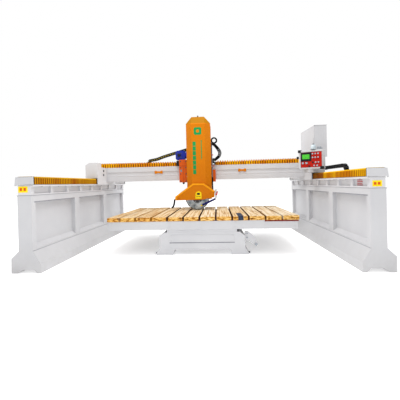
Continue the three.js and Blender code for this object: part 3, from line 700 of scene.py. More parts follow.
# Painted shade all over the left front cover, and a painted shadow on the far end of the right one.
for side, far_shade_from, shade_all_over in (("left", 1.0, 0.30), ("right", 0.72, 0.0)):
    accordion(f"{side}_front_bellows", "bellows", "Y", far_shade_from, shade_all_over)
    accordion(f"{side}_rear_bellows", "pale_cloth", "Y")
accordion("left_beam_bellows", "beam_cloth", "X")
accordion("right_beam_bellows", "beam_cloth", "X")

# ------------------------------------------------------------------ cable chains

LINK = 0.056
CHAIN_WIDE = 0.030
CHAIN_HIGH = 0.033
CHAIN_WALL = 0.007
EVERY_OTHER_INSET = 0.0025


def chain_link(inset, mark_side):
    """One link along its own X: two chamfered side plates, two cover bars and its pins."""
    link = Shape()
    half = LINK * 0.54
    cut = 0.008
    quarter = [(half, CHAIN_HIGH - cut), (half - cut, CHAIN_HIGH)]
    outline = quarter + [(-a, b) for a, b in reversed(quarter)]
    outline += [(-a, -b) for a, b in quarter] + [(a, -b) for a, b in reversed(quarter)]
    for s in (-1, 1):
        low, high = sorted((s * (CHAIN_WIDE - inset), s * (CHAIN_WIDE - CHAIN_WALL - inset)))
        link.prism(outline, low, high, "Y")
        ends = [(LINK / 2, s * y, 0) for y in (CHAIN_WIDE - 0.002, CHAIN_WIDE + 0.001)]
        link.rod(*ends, 0.009, 10)
        low, high = sorted((s * (CHAIN_HIGH - 0.001), s * (CHAIN_HIGH - 0.006)))
        link.box((-0.021, -CHAIN_WIDE + 0.008, low), (0.021, CHAIN_WIDE - 0.008, high))
    if mark_side:
        low, high = sorted((mark_side * (CHAIN_WIDE - 0.001), mark_side * (CHAIN_WIDE + 0.0015)))
        link.box((-0.009, low, -0.005), (0.009, high, 0.005), 1)
    return link


def cable_chain(node, route, across, mark_side=0):
    """A chain of links along a route, with small yellow marks on one side if asked for."""
    count = round(line_length(smooth_line(route, 200)) / LINK)
    spine = frames_along(smooth_line(route, 2 * count + 1), across)
    shape = Shape()
    weights = []
    for n in range(count):
        point, ahead, side, other = spine[2 * n + 1]
        basis = Matrix((ahead, side, other)).transposed().to_4x4()
        link = chain_link(EVERY_OTHER_INSET * (n % 2), mark_side)
        weights += [(n + 0.5 + v[0] / LINK) / count for v in link.verts]
        link.moved(Matrix.Translation(point) @ basis)
        base = len(shape.verts)
        shape.verts += link.verts
        shape.faces += [tuple(base + v for v in face) for face in link.faces]
        shape.marks += link.marks
    weights = [min(max(w, 0.0), 1.0) for w in weights]
    chain = shape.piece(f"{node}_links", None, ["black_plastic", "yellow_mark"],
                        node=node, slot="black_plastic")
    blend_by(chain)


def half_turn(centre, height, radius, steps=8):
    """Half a turn, from the top round the low side to the bottom."""
    turns = [math.pi * (0.5 + i / steps) for i in range(steps + 1)]
    return [(centre + radius * math.cos(t), height + radius * math.sin(t)) for t in turns]


def bridge_chain():
    """The chain beside the right-hand rail, from the bridge back to the stand's tray."""
    upper, lower = 1.457, 1.226
    radius = (upper - lower) / 2
    line = [(a, upper) for a in (0.2545, 0.100, -0.300, -0.500)]
    line += half_turn(-0.560, lower + radius, radius)
    line += [(a, lower) for a in (-0.500, -0.200, 0.300, 0.600, 0.7345)]
    route = [Vector((2.536, a, z)) for a, z in line]
    cable_chain("bridge_cable_chain", route, (1, 0, 0))


def carriage_chain():
    """The chain that slopes from the saddle's post down to the trough on the beam."""
    lower = 1.638
    radius = 0.064
    line = [(-0.356, 1.998), (-0.400, 1.986), (-0.650, 1.919), (-0.897, 1.850), (-1.080, 1.790)]
    line += half_turn(-1.215, lower + radius, radius)
    line += [(a, lower) for a in (-1.150, -0.900, -0.500, 0.000)]
    route = [Vector((a, 0.850, z)) for a, z in line]
    cable_chain("carriage_cable_chain", route, (0, 1, 0), mark_side=-1)


bridge_chain()
carriage_chain()

# ------------------------------------------------------------------ planks

PLANKS = 12
PLANK_GAP = 0.030
WEB_HIGH = 0.008
FIRST_PLANK = 0.210
KERF_Y = 0.700
KERF_DEEP = 0.006
# Faces along Y that are smaller than this are a kerf's walls, not a plank's end.
KERF_FACES = 0.005
WEB_INSET = 0.15


def planks():
    """Twelve sawn planks laid front to back, each with a shallow kerf where the blade has run."""
    low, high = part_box("table_planks")
    pitch = (high.x - low.x - FIRST_PLANK) / (PLANKS - 1)
    for number in range(PLANKS):
        left = low.x + (FIRST_PLANK + (number - 1) * pitch if number else 0.0)
        right = low.x + FIRST_PLANK + number * pitch
        x0 = left + (PLANK_GAP / 2 if number else 0.0)
        x1 = right - (PLANK_GAP / 2 if number < PLANKS - 1 else 0.0)
        top = high.z - random.uniform(0.0, 0.003)
        front = low.y + random.uniform(0.0, 0.008)
        back = high.y - random.uniform(0.0, 0.008)
        kerf = [(KERF_Y + 0.004, top), (KERF_Y + 0.003, top - KERF_DEEP),
                (KERF_Y - 0.003, top - KERF_DEEP), (KERF_Y - 0.004, top)]
        outline = [(front, low.z), (back, low.z), (back, top), *kerf, (front, top)]
        looks = ["wood", "end_grain", "gap_shade_timber"]
        plank = Shape().prism(outline, x0, x1, "X").piece(
            f"plank_{number + 1}", "table", looks, 0.003, node="table_planks", slot="wood")
        for polygon in plank.data.polygons:
            if abs(polygon.normal.y) > 0.9 and polygon.area > KERF_FACES:
                polygon.material_index = looks.index("end_grain")
            # Painted shade: the inner planks' sides take the dark gap colour.
            elif abs(polygon.normal.x) > 0.9 and 0 < number < PLANKS - 1:
                polygon.material_index = looks.index("gap_shade_timber")
        tone = plank.data.attributes.new("plank", "FLOAT", "POINT")
        tone.data.foreach_set("value", [random.random()] * len(plank.data.vertices))


def plank_gap_shade_board():
    """A dark board under the planks, as painted shade in the gaps between them."""
    low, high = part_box("table_planks")
    web = Shape().box((low.x + WEB_INSET, low.y + 0.012, low.z),
                      (high.x - WEB_INSET, high.y - 0.012, low.z + WEB_HIGH))
    web.piece("plank_gap_shade", "table", ["gap_shade_timber"], node="table_planks", slot="wood")


STRAP_X = 0.676
STRAP_WIDE = 0.084
STRAP_THICK = 0.003
STRAP_ON_TOP = 0.460
STRAP_DOWN = 0.062
STRAP_TOP = 0.6445
STRAP_EDGE = -1.0005
STRAP_BEND = 0.006


def strap():
    """A web strap laid over the front edge of one plank and hanging down its end."""
    line = []
    for i in range(13):
        line.append((STRAP_EDGE + STRAP_ON_TOP * (1 - i / 12), STRAP_TOP + 0.001 * math.sin(i * 1.3)))
    low = STRAP_TOP - STRAP_BEND
    for i in range(1, 6):
        turn = math.pi / 2 * i / 5
        line.append((STRAP_EDGE - STRAP_BEND * math.sin(turn), low + STRAP_BEND * math.cos(turn)))
    for i in range(1, 7):
        line.append((STRAP_EDGE - STRAP_BEND - 0.0008 * math.sin(i), low - STRAP_DOWN * i / 6))
    points = [Vector((STRAP_X + 0.010 * i / len(line), y, z)) for i, (y, z) in enumerate(line)]
    lift = Vector((0, -0.0015, 0.0015))
    rings = []
    for point, _, side, other in frames_along(points, (1, 0, 0)):
        rings.append(squared(point + lift, side * STRAP_WIDE / 2, other * STRAP_THICK / 2))
    cloth = Shape().loops(rings).piece("plank_strap", "table", ["navy_web"])


planks()
plank_gap_shade_board()
strap()

# ------------------------------------------------------------------ stands, table and pedestal

BED_FACE = -1.900
RECESSES = 3
RECESS_POST = 0.170
RECESS_WIDE = (3.680 - 2 * RECESS_POST) / RECESSES
TAB_PLACES = (-1.75, -0.60, 0.60, 1.75)
TAB_TOP = 0.013
PEDESTAL_COVER = (-0.520, 0.580)


def stand_details(name, side):
    """Seams, painted shadow lines at the recess tops, bolts, cover frames and floor tabs of one stand."""
    def boxed(tag, corners, key, bevel=0.002):
        mirrored_box(f"{name}_{tag}", "stands", side, corners, key, bevel)

    def bolted(tag, x, ys, z, along, size=0.010):
        bolts(f"{name}_{tag}", "stands", [(side * x, y, z) for y in ys], along, size)

    boxed("fold_line", [((2.2678, -1.898, 0.3080), (2.2715, 1.898, 0.3130))], "seam_grey", 0)
    # Painted shadow: a dark strip along the top edge of each recess.
    starts = [-1.840 + i * (RECESS_WIDE + RECESS_POST) for i in range(RECESSES)]
    edges = [((2.2685, y, 0.986), (2.2715, y + RECESS_WIDE, 0.999)) for y in starts]
    boxed("recess_shadow_lines", edges, "seam_grey", 0)
    boxed("bed_shim", [((2.268, -1.902, 1.0825), (2.478, 1.902, 1.0885))], "seam_grey", 0.001)
    for tag, y in (("front", -1.9045), ("rear", 1.8885)):
        boxed(f"{tag}_cap_frame", [((2.2275, y, 1.240), (2.4625, y + 0.016, 1.347))], "black_plastic")
    bolted("bed_bolts", 2.462, spread(-1.80, 1.80, 13), 1.125, (side, 0, 0))
    bolted("flange_bolts", 2.254, spread(-1.68, 1.68, 9), 1.2103, (0, 0, -1), 0.008)
    tabs = [((2.560, y - 0.045, 0.001), (2.645, y + 0.045, TAB_TOP)) for y in TAB_PLACES]
    boxed("floor_tabs", tabs, "white_paint")
    bolted("anchor_bolts", 2.616, TAB_PLACES, TAB_TOP, (0, 0, 1), 0.014)
    plugs = [((side * 2.474, y, z), (side * 2.4785, y, z), 0.032, 24)
             for y in (-1.30, 0.0, 1.30) for z in (0.420, 0.900)]
    rod_piece(f"{name}_lifting_plugs", "stands", plugs, "black_plastic")
    ribs = [((2.474, y - 0.020, 0.330), (2.482, y + 0.020, 1.060)) for y in (-1.86, -0.65, 0.65, 1.86)]
    boxed("outer_ribs", ribs, "white_paint")


def stand_labels():
    """Plain plates on the front faces of the rail beds, and four bars on the right bed."""
    for name, x0, x1, z0, z1 in (("left", -2.455, -2.319, 1.128, 1.214),
                                 ("right", 2.300, 2.418, 1.106, 1.184)):
        low, high = (x0, BED_FACE - 0.002, z0), (x1, BED_FACE + 0.001, z1)
        plate(f"{name}_end_label", "stands", low, high, "yellow_mark", 0)
        blocks = []
        for x in (x0 + (x1 - x0) * 0.28, x0 + (x1 - x0) * 0.70):
            blocks.append(((x - 0.017, BED_FACE - 0.003, z0 + 0.022),
                           (x + 0.017, BED_FACE - 0.001, z1 - 0.022)))
        box_piece(f"{name}_end_label_blocks", "stands", blocks, "saddle_orange", 0)
    bars = []
    for i in range(4):
        z = 1.118 + 0.023 * i
        bars.append(((2.305, -1.650 + 0.012 * (i % 2), z), (2.3085, -1.500, z + 0.012)))
    box_piece("right_bed_bars", "stands", bars, "red_mark", 0)


def chain_tray():
    """Side lip and brackets of the tray that the bridge's chain lies in."""
    shape = Shape().box((2.568, -1.500, 1.186), (2.572, 0.735, 1.232))
    for y in (-1.40, -0.90, -0.40, 0.10, 0.60):
        shape.prism([(2.476, 1.180), (2.566, 1.180), (2.476, 1.105)], y - 0.004, y + 0.004, "Y")
    shape.piece("chain_tray_lip", "stands", ["white_paint"], bevel=0.001)


def table_details():
    """Packing, welds and bolts of the table's frame, and the screws that hold the planks."""
    front, rear = -0.985, 0.985
    plate("plank_packing", "table", (1.075, -0.999, 0.552), (1.618, front + 0.001, 0.5725), "dark_red")
    welds = [((x - 0.006, y, 0.436), (x + 0.006, y + 0.003, 0.568))
             for x in spread(-1.540, 1.600, 7) for y in (front - 0.0025, rear - 0.0005)]
    box_piece("frame_welds", "table", welds, "white_paint", 0.001)
    for tag, y, out in (("front", front, -1), ("rear", rear, 1)):
        places = [(x, y, z) for x in (-1.500, -0.530, 0.590, 1.560) for z in (0.462, 0.540)]
        bolts(f"frame_{tag}_bolts", "table", places, (0, out, 0), 0.009, "white_paint")
    for tag, x, out in (("left", -1.555, -1), ("right", 1.615, 1)):
        places = [(x, y, 0.500) for y in spread(-0.85, 0.85, 5)]
        bolts(f"frame_{tag}_bolts", "table", places, (out, 0, 0))
    columns = [-1.465] + [-1.224 + 0.2718 * i for i in range(PLANKS - 1)]
    screws = [((x, y, 0.6395), (x, y, 0.6425), 0.011, 14) for x in columns for y in (-0.900, 0.0, 0.880)]
    rod_piece("plank_screws", "table", screws, "cast_grey")


def pedestal_details():
    """Seams, covers, bolts and foot pads of the pedestal, and the pin of its tilt lug."""
    x0, x1 = PEDESTAL_COVER
    seams = [((x0, y, 0.197), (x1, y + 0.003, 0.211)) for y in (-0.9415, 0.9385)]
    box_piece("pedestal_seams", "stands", seams, "seam_grey", 0)
    covers = []
    for y in (-0.9435, 0.9375):
        covers += [((x0, y, low), (x1, y + 0.006, high)) for low, high in ((0.212, 0.338), (0.112, 0.196))]
    for y in (-0.9385, 0.9325):
        covers.append(((x0 - 0.040, y, 0.375), (x1 + 0.040, y + 0.006, 0.4265)))
    # The pedestal's covers take the lighter copy of the white paint, as painted light under the table.
    box_piece("pedestal_covers", "stands", covers, "lit_pedestal_paint", 0.0025)
    for tag, y, out in (("front", -0.9435, -1), ("rear", 0.9435, 1)):
        places = [(x, y, z) for x in (-0.490, 0.030, 0.550) for z in (0.232, 0.318)]
        bolts(f"pedestal_{tag}_bolts", "stands", places, (0, out, 0), 0.008, "lit_pedestal_paint")
    centres = [(x, y) for x in (-0.728, 0.788) for y in (-0.80, 0.0, 0.80)]
    pads = [((x - 0.055, y - 0.05, 0.001), (x + 0.055, y + 0.05, 0.014)) for x, y in centres]
    box_piece("pedestal_foot_pads", "stands", pads, "cast_grey")
    places = [(x + math.copysign(0.028, x - 0.03), y, 0.014) for x, y in centres]
    bolts("pedestal_anchor_bolts", "stands", places, (0, 0, 1), 0.013)
    bolts("tilt_arm_bolts", "stands", [(0.790, -0.885, 0.340), (0.790, -0.885, 0.270)], (0, -1, 0))
    x, z = 0.938, 0.158
    pin = [((x, -0.897, z), (x, -0.833, z), 0.0165), ((x, -0.899, z), (x, -0.890, z), 0.026)]
    rod_piece("tilt_arm_pin", "stands", pin, "ground_steel", 0.001)


for side_name, side_sign in (("left", -1), ("right", 1)):
    stand_details(side_name, side_sign)
stand_labels()
chain_tray()
table_details()
pedestal_details()

# ------------------------------------------------------------------ bridge


def truck_details(name, side):
    """Bellows frames, cover, flange and bolts of one end truck."""
    # Open below, so that the guide rail passes between the legs.
    for tag, y in (("front", 0.132), ("rear", 1.149)):
        arch = [((x0, y, z), (x1, y + 0.019, 1.3490)) for x0, x1, z in
                ((2.2275, 2.2900, 1.2375), (2.4475, 2.4625, 1.2375), (2.2890, 2.4485, 1.2860))]
        mirrored_box(f"{name}_{tag}_bellows_frame", "bridge", side, arch, "black_plastic")
    cover = [((2.476, 0.480, 1.392), (2.484, 1.080, 1.588))]
    mirrored_box(f"{name}_truck_cover", "bridge", side, cover, "white_paint")
    places = [(side * 2.484, y, z) for y in spread(0.51, 1.05, 4) for z in (1.412, 1.568)]
    bolts(f"{name}_truck_cover_bolts", "bridge", places, (side, 0, 0), 0.008)
    places = [(side * 2.215, 0.452, z) for z in (1.437, 1.527)]
    bolts(f"{name}_beam_bolts", "bridge", places, (-side, 0, 0), 0.016, "cast_grey")
    flange = [((2.196, 0.618, 1.290), (2.217, 1.062, 1.598))]
    mirrored_box(f"{name}_beam_flange", "bridge", side, flange, "white_paint", 0.003)


def beam_details():
    """Spool-shaped clamps on the front, the chain's trough on top and covers behind."""
    for tag, x0, x1, z in (("left", -1.102, -0.918, 1.4755), ("right", 0.780, 0.955, 1.4765)):
        spool = [((x0, 0.6255, z - 0.020), (x1, 0.6455, z + 0.020))]
        spool += [((x, 0.6235, z - 0.033), (x + 0.048, 0.6455, z + 0.033)) for x in (x0, x1 - 0.048)]
        box_piece(f"beam_clamp_{tag}", "bridge", spool, "orange_paint", 0.003)
    x0, x1 = -1.480, 0.040
    trough = [((x0, 0.806, 1.5995), (x1, 0.894, 1.6025))]
    trough += [((x0, y, 1.600), (x1, y + 0.003, 1.618)) for y in (0.806, 0.891)]
    trough.append(((0.002, 0.818, 1.601), (0.012, 0.885, 1.675)))
    box_piece("chain_trough", "bridge", trough, "white_paint", 0.001)
    for number, x in enumerate((-1.40, 0.0, 1.40)):
        low, high = (x - 0.22, 1.038, 1.345), (x + 0.22, 1.045, 1.535)
        # The rear covers take the lighter copy of the white paint, as painted light.
        plate(f"beam_rear_cover_{number + 1}", "bridge", low, high, "lit_white_paint")
        places = [(x + a, 1.045, 1.44 + b) for a in (-0.195, 0.195) for b in (-0.075, 0.075)]
        bolts(f"beam_rear_cover_bolts_{number + 1}", "bridge", places, (0, 1, 0), 0.008)


def cabinet_details():
    """Ribs, roof, louvres and hinges of the cabinet, and the lock and folds of its door."""
    low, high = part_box("cabinet")
    ribs = [((x - 0.007, low.y - 0.003, low.z + 0.05), (x + 0.007, low.y + 0.002, high.z - 0.04))
            for x in spread(low.x + 0.035, high.x - 0.035, 5)]
    box_piece("cabinet_front_ribs", "bridge", ribs, "white_paint", 0.0015)
    plate("cabinet_roof", "bridge", (low.x - 0.010, low.y - 0.010, high.z - 0.0005),
          (high.x + 0.008, high.y + 0.010, high.z + 0.010), "white_paint", 0.003)
    vents = Shape()
    for y in (0.36, 0.84):
        for i in range(7):
            z = 1.86 + 0.026 * i
            slat = [(high.x - 0.001, z), (high.x + 0.009, z + 0.002), (high.x - 0.001, z + 0.018)]
            vents.prism(slat, y, y + 0.20, "Y")
    vents.piece("cabinet_louvres", "bridge", ["white_paint"])
    x, y = low.x - 0.006, high.y + 0.006
    hinges = [((x, y, z - 0.03), (x, y, z + 0.03), 0.007, 14) for z in (1.80, 2.03, 2.25)]
    rod_piece("cabinet_hinges", "bridge", hinges, "ground_steel")
    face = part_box("cabinet_door")[0].x + 0.014
    lock = Shape().rod((face - 0.007, 0.300, 1.86), (face + 0.001, 0.300, 1.86), 0.015)
    lock.box((face - 0.009, 0.297, 1.852), (face - 0.006, 0.303, 1.868))
    lock.piece("door_lock", "door", ["black_plastic"])
    folds = [((face - 0.002, y, 1.732), (face + 0.001, y + 0.012, 2.320)) for y in (0.262, 1.126)]
    folds += [((face - 0.002, 0.274, z), (face + 0.001, 1.126, z + 0.012)) for z in (1.732, 2.308)]
    box_piece("door_folds", "door", folds, "white_paint", 0.001)


PANEL = Matrix.Translation((2.105, -0.170, 1.605)) @ Matrix.Rotation(math.radians(-35), 4, "Z")
FACE_WIDE = 0.390
FACE_HIGH = 0.290
RIM = (0.198, 0.149)


def on_face(u, v):
    """A place on the panel's face, from fractions of its width and its height."""
    return (u - 0.5) * FACE_WIDE, (0.5 - v) * FACE_HIGH


def face_box(u0, u1, v0, v1, front, back):
    """A box on the panel's face, given by fractions of the face and its two depths."""
    x0, z1 = on_face(u0, v0)
    x1, z0 = on_face(u1, v1)
    return (x0, front, z0), (x1, back, z1)


def panel_piece(shape, name, key, bevel=0.0):
    return shape.moved(PANEL).piece(name, "bridge", [key], bevel=bevel)


def beacon():
    """The lamp on the panel's roof: a dome on a foot, with a cap and a bracket beside it."""
    x, y = 0.038, 0.030
    lamp = Shape().rod((x, y, 0.181), (x, y, 0.192), 0.052, 28)
    profile = [(0.047, 0.192), (0.047, 0.245), (0.042, 0.264), (0.030, 0.279), (0.010, 0.286)]
    for (r0, z0), (r1, z1) in zip(profile, profile[1:]):
        lamp.rod((x, y, z0), (x, y, z1), r0, 28, r1, mark=1)
    lamp.rod((x, y, 0.284), (x, y, 0.298), 0.019, 16)
    lamp.moved(PANEL).piece("beacon", "bridge", ["cast_grey", "lamp"])
    bracket = Shape().box((0.105, 0.020, 0.181), (0.175, 0.045, 0.240))
    bracket.box((0.175, 0.020, 0.181), (0.182, 0.120, 0.225))
    panel_piece(bracket, "beacon_bracket", "ground_steel", 0.002)


def panel_details():
    """Display, protectors, knob, ridges, hinges and face rim of the control box."""
    bezel = Shape().box(*face_box(0.008, 0.520, 0.020, 0.600, -0.005, 0.003))
    panel_piece(bezel, "display_bezel", "black_plastic", 0.003)
    screen = Shape().box(*face_box(0.082, 0.430, 0.150, 0.450, -0.0065, 0.001))
    panel_piece(screen, "display_screen", "screen")
    switches = Shape()
    for u, v in ((0.41, 0.93), (0.585, 0.69)):
        x, z = on_face(u, v)
        switches.rod((x, -0.010, z), (x, 0.003, z), 0.015, 18)
    panel_piece(switches, "key_switches", "black_plastic", 0.001)
    corners = Shape()
    for x, z in ((-0.232, 0.182), (0.206, -0.176)):
        sx, sz = math.copysign(1, x), math.copysign(1, z)
        x0, x1 = sorted((x - sx * 0.042, x + sx * 0.014))
        z0, z1 = sorted((z - sz * 0.040, z + sz * 0.014))
        corners.box((x0, -0.010, z0), (x1, 0.070, z1))
    panel_piece(corners, "corner_protectors", "black_plastic", 0.006)
    y, z = 0.050, 0.052
    knob = Shape().rod((-0.230, y, z), (-0.252, y, z), 0.012, 16)
    knob.rod((-0.252, y, z), (-0.286, y, z), 0.025)
    panel_piece(knob, "side_knob", "black_plastic", 0.002)
    beacon()
    ridges = Shape().boxes([((x, y, -0.160), (x + 0.0045, y + 0.012, 0.166))
                            for y in (0.030, 0.075, 0.120, 0.165) for x in (-0.235, 0.2045)])
    panel_piece(ridges, "panel_ridges", "white_paint", 0.001)
    x, y = -0.236, 0.198
    hinges = Shape().rods([((x, y, z - 0.02), (x, y, z + 0.02), 0.007, 12) for z in (-0.110, 0.110)])
    panel_piece(hinges, "panel_hinges", "ground_steel")
    x, z = RIM
    thick = 0.004
    rim = Shape().boxes([((a, -0.003, -z), (a + thick, 0.003, z)) for a in (-x, x - thick)])
    rim.boxes([((-x, -0.003, a), (x, 0.003, a + thick)) for a in (-z, z - thick)])
    panel_piece(rim, "face_rim", "seam_grey", 0.001)


for side_name, side_sign in (("left", -1), ("right", 1)):
    truck_details(side_name, side_sign)
beam_details()
cabinet_details()
panel_details()

# ------------------------------------------------------------------ carriage


def finned_barrel(shape, start, end, radius, fins, high):
    """Cooling fins along a motor's barrel, between two points on its axis."""
    start, end = Vector(start), Vector(end)
    along = (end - start).normalized()
    side = along.orthogonal().normalized()
    other = along.cross(side)
    for c, s in circle(fins):
        out = side * c + other * s
        wide = along.cross(out) * 0.0025
        inner, outer = out * (radius - 0.002), out * (radius + high)
        corners = (inner - wide, outer - wide, outer + wide, inner + wide)
        shape.loops([[p + corner for corner in corners] for p in (start, end)])


def gearmotor_details():
    """Fins, hub, bolts and terminal box of the traverse gearmotor."""
    y, z = 0.710, 1.850
    fins = Shape()
    finned_barrel(fins, (-0.385, y, z), (-0.190, y, z), 0.072, 22, 0.008)
    fins.rod((-0.190, y, z), (-0.126, y, z), 0.081, 32)
    fins.piece("traverse_motor_fins", "carriage", ["blue_paint"])
    x, z = -0.535, 1.846
    hub = [((x, 0.615, z), (x, 0.6225, z), 0.034, 28), ((x, 0.611, z), (x, 0.616, z), 0.012, 16)]
    rod_piece("gearbox_hub", "carriage", hub, "black_plastic", 0.002)
    places = around((x, 0.640, z), 0.062, 4, math.pi / 4)
    bolts("gearbox_bolts", "carriage", places, (0, -1, 0), 0.009, "cast_grey")
    lid = [((-0.330, 0.660, 1.918), (-0.230, 0.760, 1.962)),
           ((-0.336, 0.654, 1.962), (-0.224, 0.766, 1.970))]
    box_piece("traverse_terminal_box", "carriage", lid, "blue_paint", 0.003)


def saddle_details():
    """Wiper clamp, stop knob, seams, bolts and the glands that the cables leave from."""
    low, high = (-0.592, 0.575, 1.605), (-0.5305, 0.634, 1.716)
    plate("wiper_clamp", "carriage", low, high, "black_plastic", 0.004)
    x, y = -0.440, 0.592
    knob = Shape().rod((x, y, 1.226), (x, y, 1.233), 0.030).ball((x, y, 1.212), 0.022)
    knob.piece("stop_knob", "carriage", ["black_plastic"], smooth=True)
    places = [(x, 0.560, z) for x in (-0.500, -0.380) for z in (1.262, 1.420, 1.560, 1.700)]
    bolts("saddle_bolts", "carriage", places, (0, -1, 0), 0.009, "cast_grey")
    y0, y1 = 0.5585, 0.5605
    seams = [((-0.5305, y0, 1.596), (-0.345, y1, 1.600)), ((-0.442, y0, 1.234), (-0.438, y1, 1.596))]
    box_piece("saddle_seams", "carriage", seams, "dark_red", 0)
    plate("saddle_plate", "carriage", (-0.506, 0.5575, 1.462), (-0.466, 0.5605, 1.516), "seam_grey", 0.001)
    glands = Shape().box((0.2155, 0.566, 1.640), (0.252, 0.624, 1.742))
    glands.rod((0.252, 0.594, 1.708), (0.268, 0.594, 1.708), 0.030)
    glands.rod((0.234, 0.595, 1.742), (0.234, 0.595, 1.752), 0.018, 16)
    glands.box((0.252, 0.574, 1.612), (0.286, 0.618, 1.668))
    glands.piece("cable_glands", "carriage", ["black_plastic"], bevel=0.003)
    plate("gland_plate", "carriage", (0.246, 0.560, 1.668), (0.262, 0.572, 1.700), "lamp", 0.001)
    nipple = [((0.237, 0.556, 1.578), (0.237, 0.564, 1.578), 0.014, 16)]
    rod_piece("grease_point", "carriage", nipple, "red_plastic")
    bracket = [((-0.349, 0.812, 1.952), (-0.342, 0.888, 2.044)),
               ((-0.349, 0.812, 1.950), (-0.281, 0.888, 1.956))]
    box_piece("chain_bracket", "carriage", bracket, "saddle_orange")
    places = [(x, 0.700, 1.737) for x in (-0.080, 0.020, 0.120, 0.185)]
    bolts("shoe_bolts", "carriage", places, (0, 0, 1))


gearmotor_details()
saddle_details()

# ------------------------------------------------------------------ head

COVER_FACE = 0.290
EMBLEM = (-0.084, 2.312)
STRIPE_BLOCKS = 7
GUARD_FRONT = 0.196
FLAP_WIDE = 0.037
FLAP_THICK = 0.034


def column_marks():
    """Plain green marks on the cover, without lettering, and the lifting nub on its roof."""
    front, back = COVER_FACE - 0.002, COVER_FACE + 0.001
    x, z = EMBLEM
    corner = 0.034
    straight = 0.080 - corner
    outline = []
    for start, sx, sz in ((0, 1, 1), (90, -1, 1), (180, -1, -1), (270, 1, -1)):
        for i in range(5):
            t = math.radians(start + 22.5 * i)
            outline.append((x + sx * straight + corner * math.cos(t),
                            z + sz * straight + corner * math.sin(t)))
    marks = Shape().prism(outline, front, back, "Y")
    for i in range(STRIPE_BLOCKS):
        low = 1.400 + 0.100 * i
        marks.box((-0.196, front, low), (-0.128, back, low + 0.088))
    marks.box((-0.018, front, 1.715), (-0.002, back, 2.118))
    marks.piece("cover_marks", "head", ["green_mark"])
    spot = [((x, COVER_FACE - 0.003, z), (x, COVER_FACE - 0.001, z), 0.034, 28)]
    rod_piece("cover_mark_centre", "head", spot, "orange_paint")
    x, y = -0.079, 0.395
    nub = [((x, y, 2.622), (x, y, 2.650), 0.020, 16, 0.013),
           ((x, y, 2.649), (x, y, 2.664), 0.013, 16, 0.006)]
    Shape().rods(nub).piece("cover_eye", "head", ["black_plastic"], smooth=True)


def cover_details():
    """The flanged rear edges of the column cover and the screws along them."""
    for tag, side, inner, outer in (("left", -1, -0.340, -0.348), ("right", 1, 0.183, 0.190)):
        x0, x1 = sorted((inner, outer))
        plate(f"cover_lip_{tag}", "head", (x0, 0.478, 0.880), (x1, 0.499, 2.440), "orange_paint", 0.001)
        places = [(outer, 0.489, z) for z in spread(0.95, 2.38, 8)]
        bolts(f"cover_screws_{tag}", "head", places, (side, 0, 0), 0.006)


def guard_face(x):
    """How far forward the guard's front stands at a place along it: flat, with swept-back ends."""
    if x < -0.201:
        return GUARD_FRONT + (x + 0.201) * (0.244 - GUARD_FRONT) / (-0.600 + 0.201)
    if x > 0.026:
        return GUARD_FRONT + (x - 0.026) * (0.230 - GUARD_FRONT) / (0.260 - 0.026)
    return GUARD_FRONT


def guard_details():
    """The raised border of the blade guard, in a lighter orange as a painted highlight, and its plain
    label, its bolts and the flap's clamp.
    """
    outer_and_inner = [
        ((-0.591, 0.862), (-0.556, 0.866)), ((-0.582, 0.933), (-0.548, 0.916)),
        ((-0.201, 1.199), (-0.190, 1.166)), ((0.026, 1.194), (0.016, 1.161)),
        ((0.243, 1.040), (0.220, 1.018)), ((0.250, 1.021), (0.222, 1.014)),
    ]
    rings = []
    for (ax, az), (bx, bz) in outer_and_inner:
        a, b = guard_face(ax), guard_face(bx)
        rings.append([(ax, a - 0.006, az), (bx, b - 0.006, bz), (bx, b + 0.001, bz), (ax, a + 0.001, az)])
    # Painted highlight: the border along the guard's top edges is a lighter orange.
    Shape().loops(rings).piece("guard_highlight_border", "head", ["highlight_orange"], bevel=0.002)
    turns = [math.pi * i / 8 for i in range(9)]
    arch = [(-0.085 + 0.058 * math.cos(t), 1.000 + 0.034 * math.sin(t)) for t in turns]
    outline = [(-0.155, 0.880), (-0.024, 0.880), (-0.024, 0.98), *arch, (-0.155, 0.98)]
    label = Shape().prism(outline, 0.1935, 0.1965, "Y")
    label.piece("guard_label", "head", ["yellow_mark"])
    blocks = [((-0.120, 0.1925, 0.962), (-0.058, 0.194, 1.004)),
              ((-0.132, 0.1925, 0.922), (-0.046, 0.194, 0.930))]
    box_piece("guard_label_blocks", "head", blocks, "black_plastic", 0)
    spots = ((-0.500, 0.900), (-0.330, 1.010), (0.150, 1.000), (0.200, 0.940))
    places = [(x, guard_face(x), z) for x, z in spots]
    bolts("guard_bolts", "head", places, (0, -1, 0), key="orange_paint")
    clamp = [((-0.618, 0.249, 0.852), (-0.6115, 0.285, 0.876)),
             ((-0.612, 0.249, 0.868), (-0.588, 0.285, 0.876))]
    box_piece("flap_clamp", "head", clamp, "ground_steel", 0.001)
    spine = ((-0.603, 0.872), (-0.604, 0.850), (-0.611, 0.790), (-0.630, 0.730), (-0.660, 0.688))
    flap = []
    for point, _, side, other in frames_along([Vector((x, 0.267, z)) for x, z in spine]):
        flap.append(squared(point, side * FLAP_WIDE / 2, other * FLAP_THICK / 2))
    Shape().loops(flap).piece("flap_rubber", "head", ["rubber"], bevel=0.002)
    nozzle = [((-0.026, 0.218, 0.7395), (-0.046, 0.2175, 0.7305), 0.017, 16, 0.009)]
    rod_piece("water_nozzle", "head", nozzle, "yellow_mark")
    x, y = VALVE_AT
    fittings = [((x, y, 1.004), (x, y, 1.022), 0.019, 6), ((x, y, 1.046), (x, y, 1.066), 0.017, 16)]
    rod_piece("valve_fittings", "head", fittings, "lamp", 0.001)


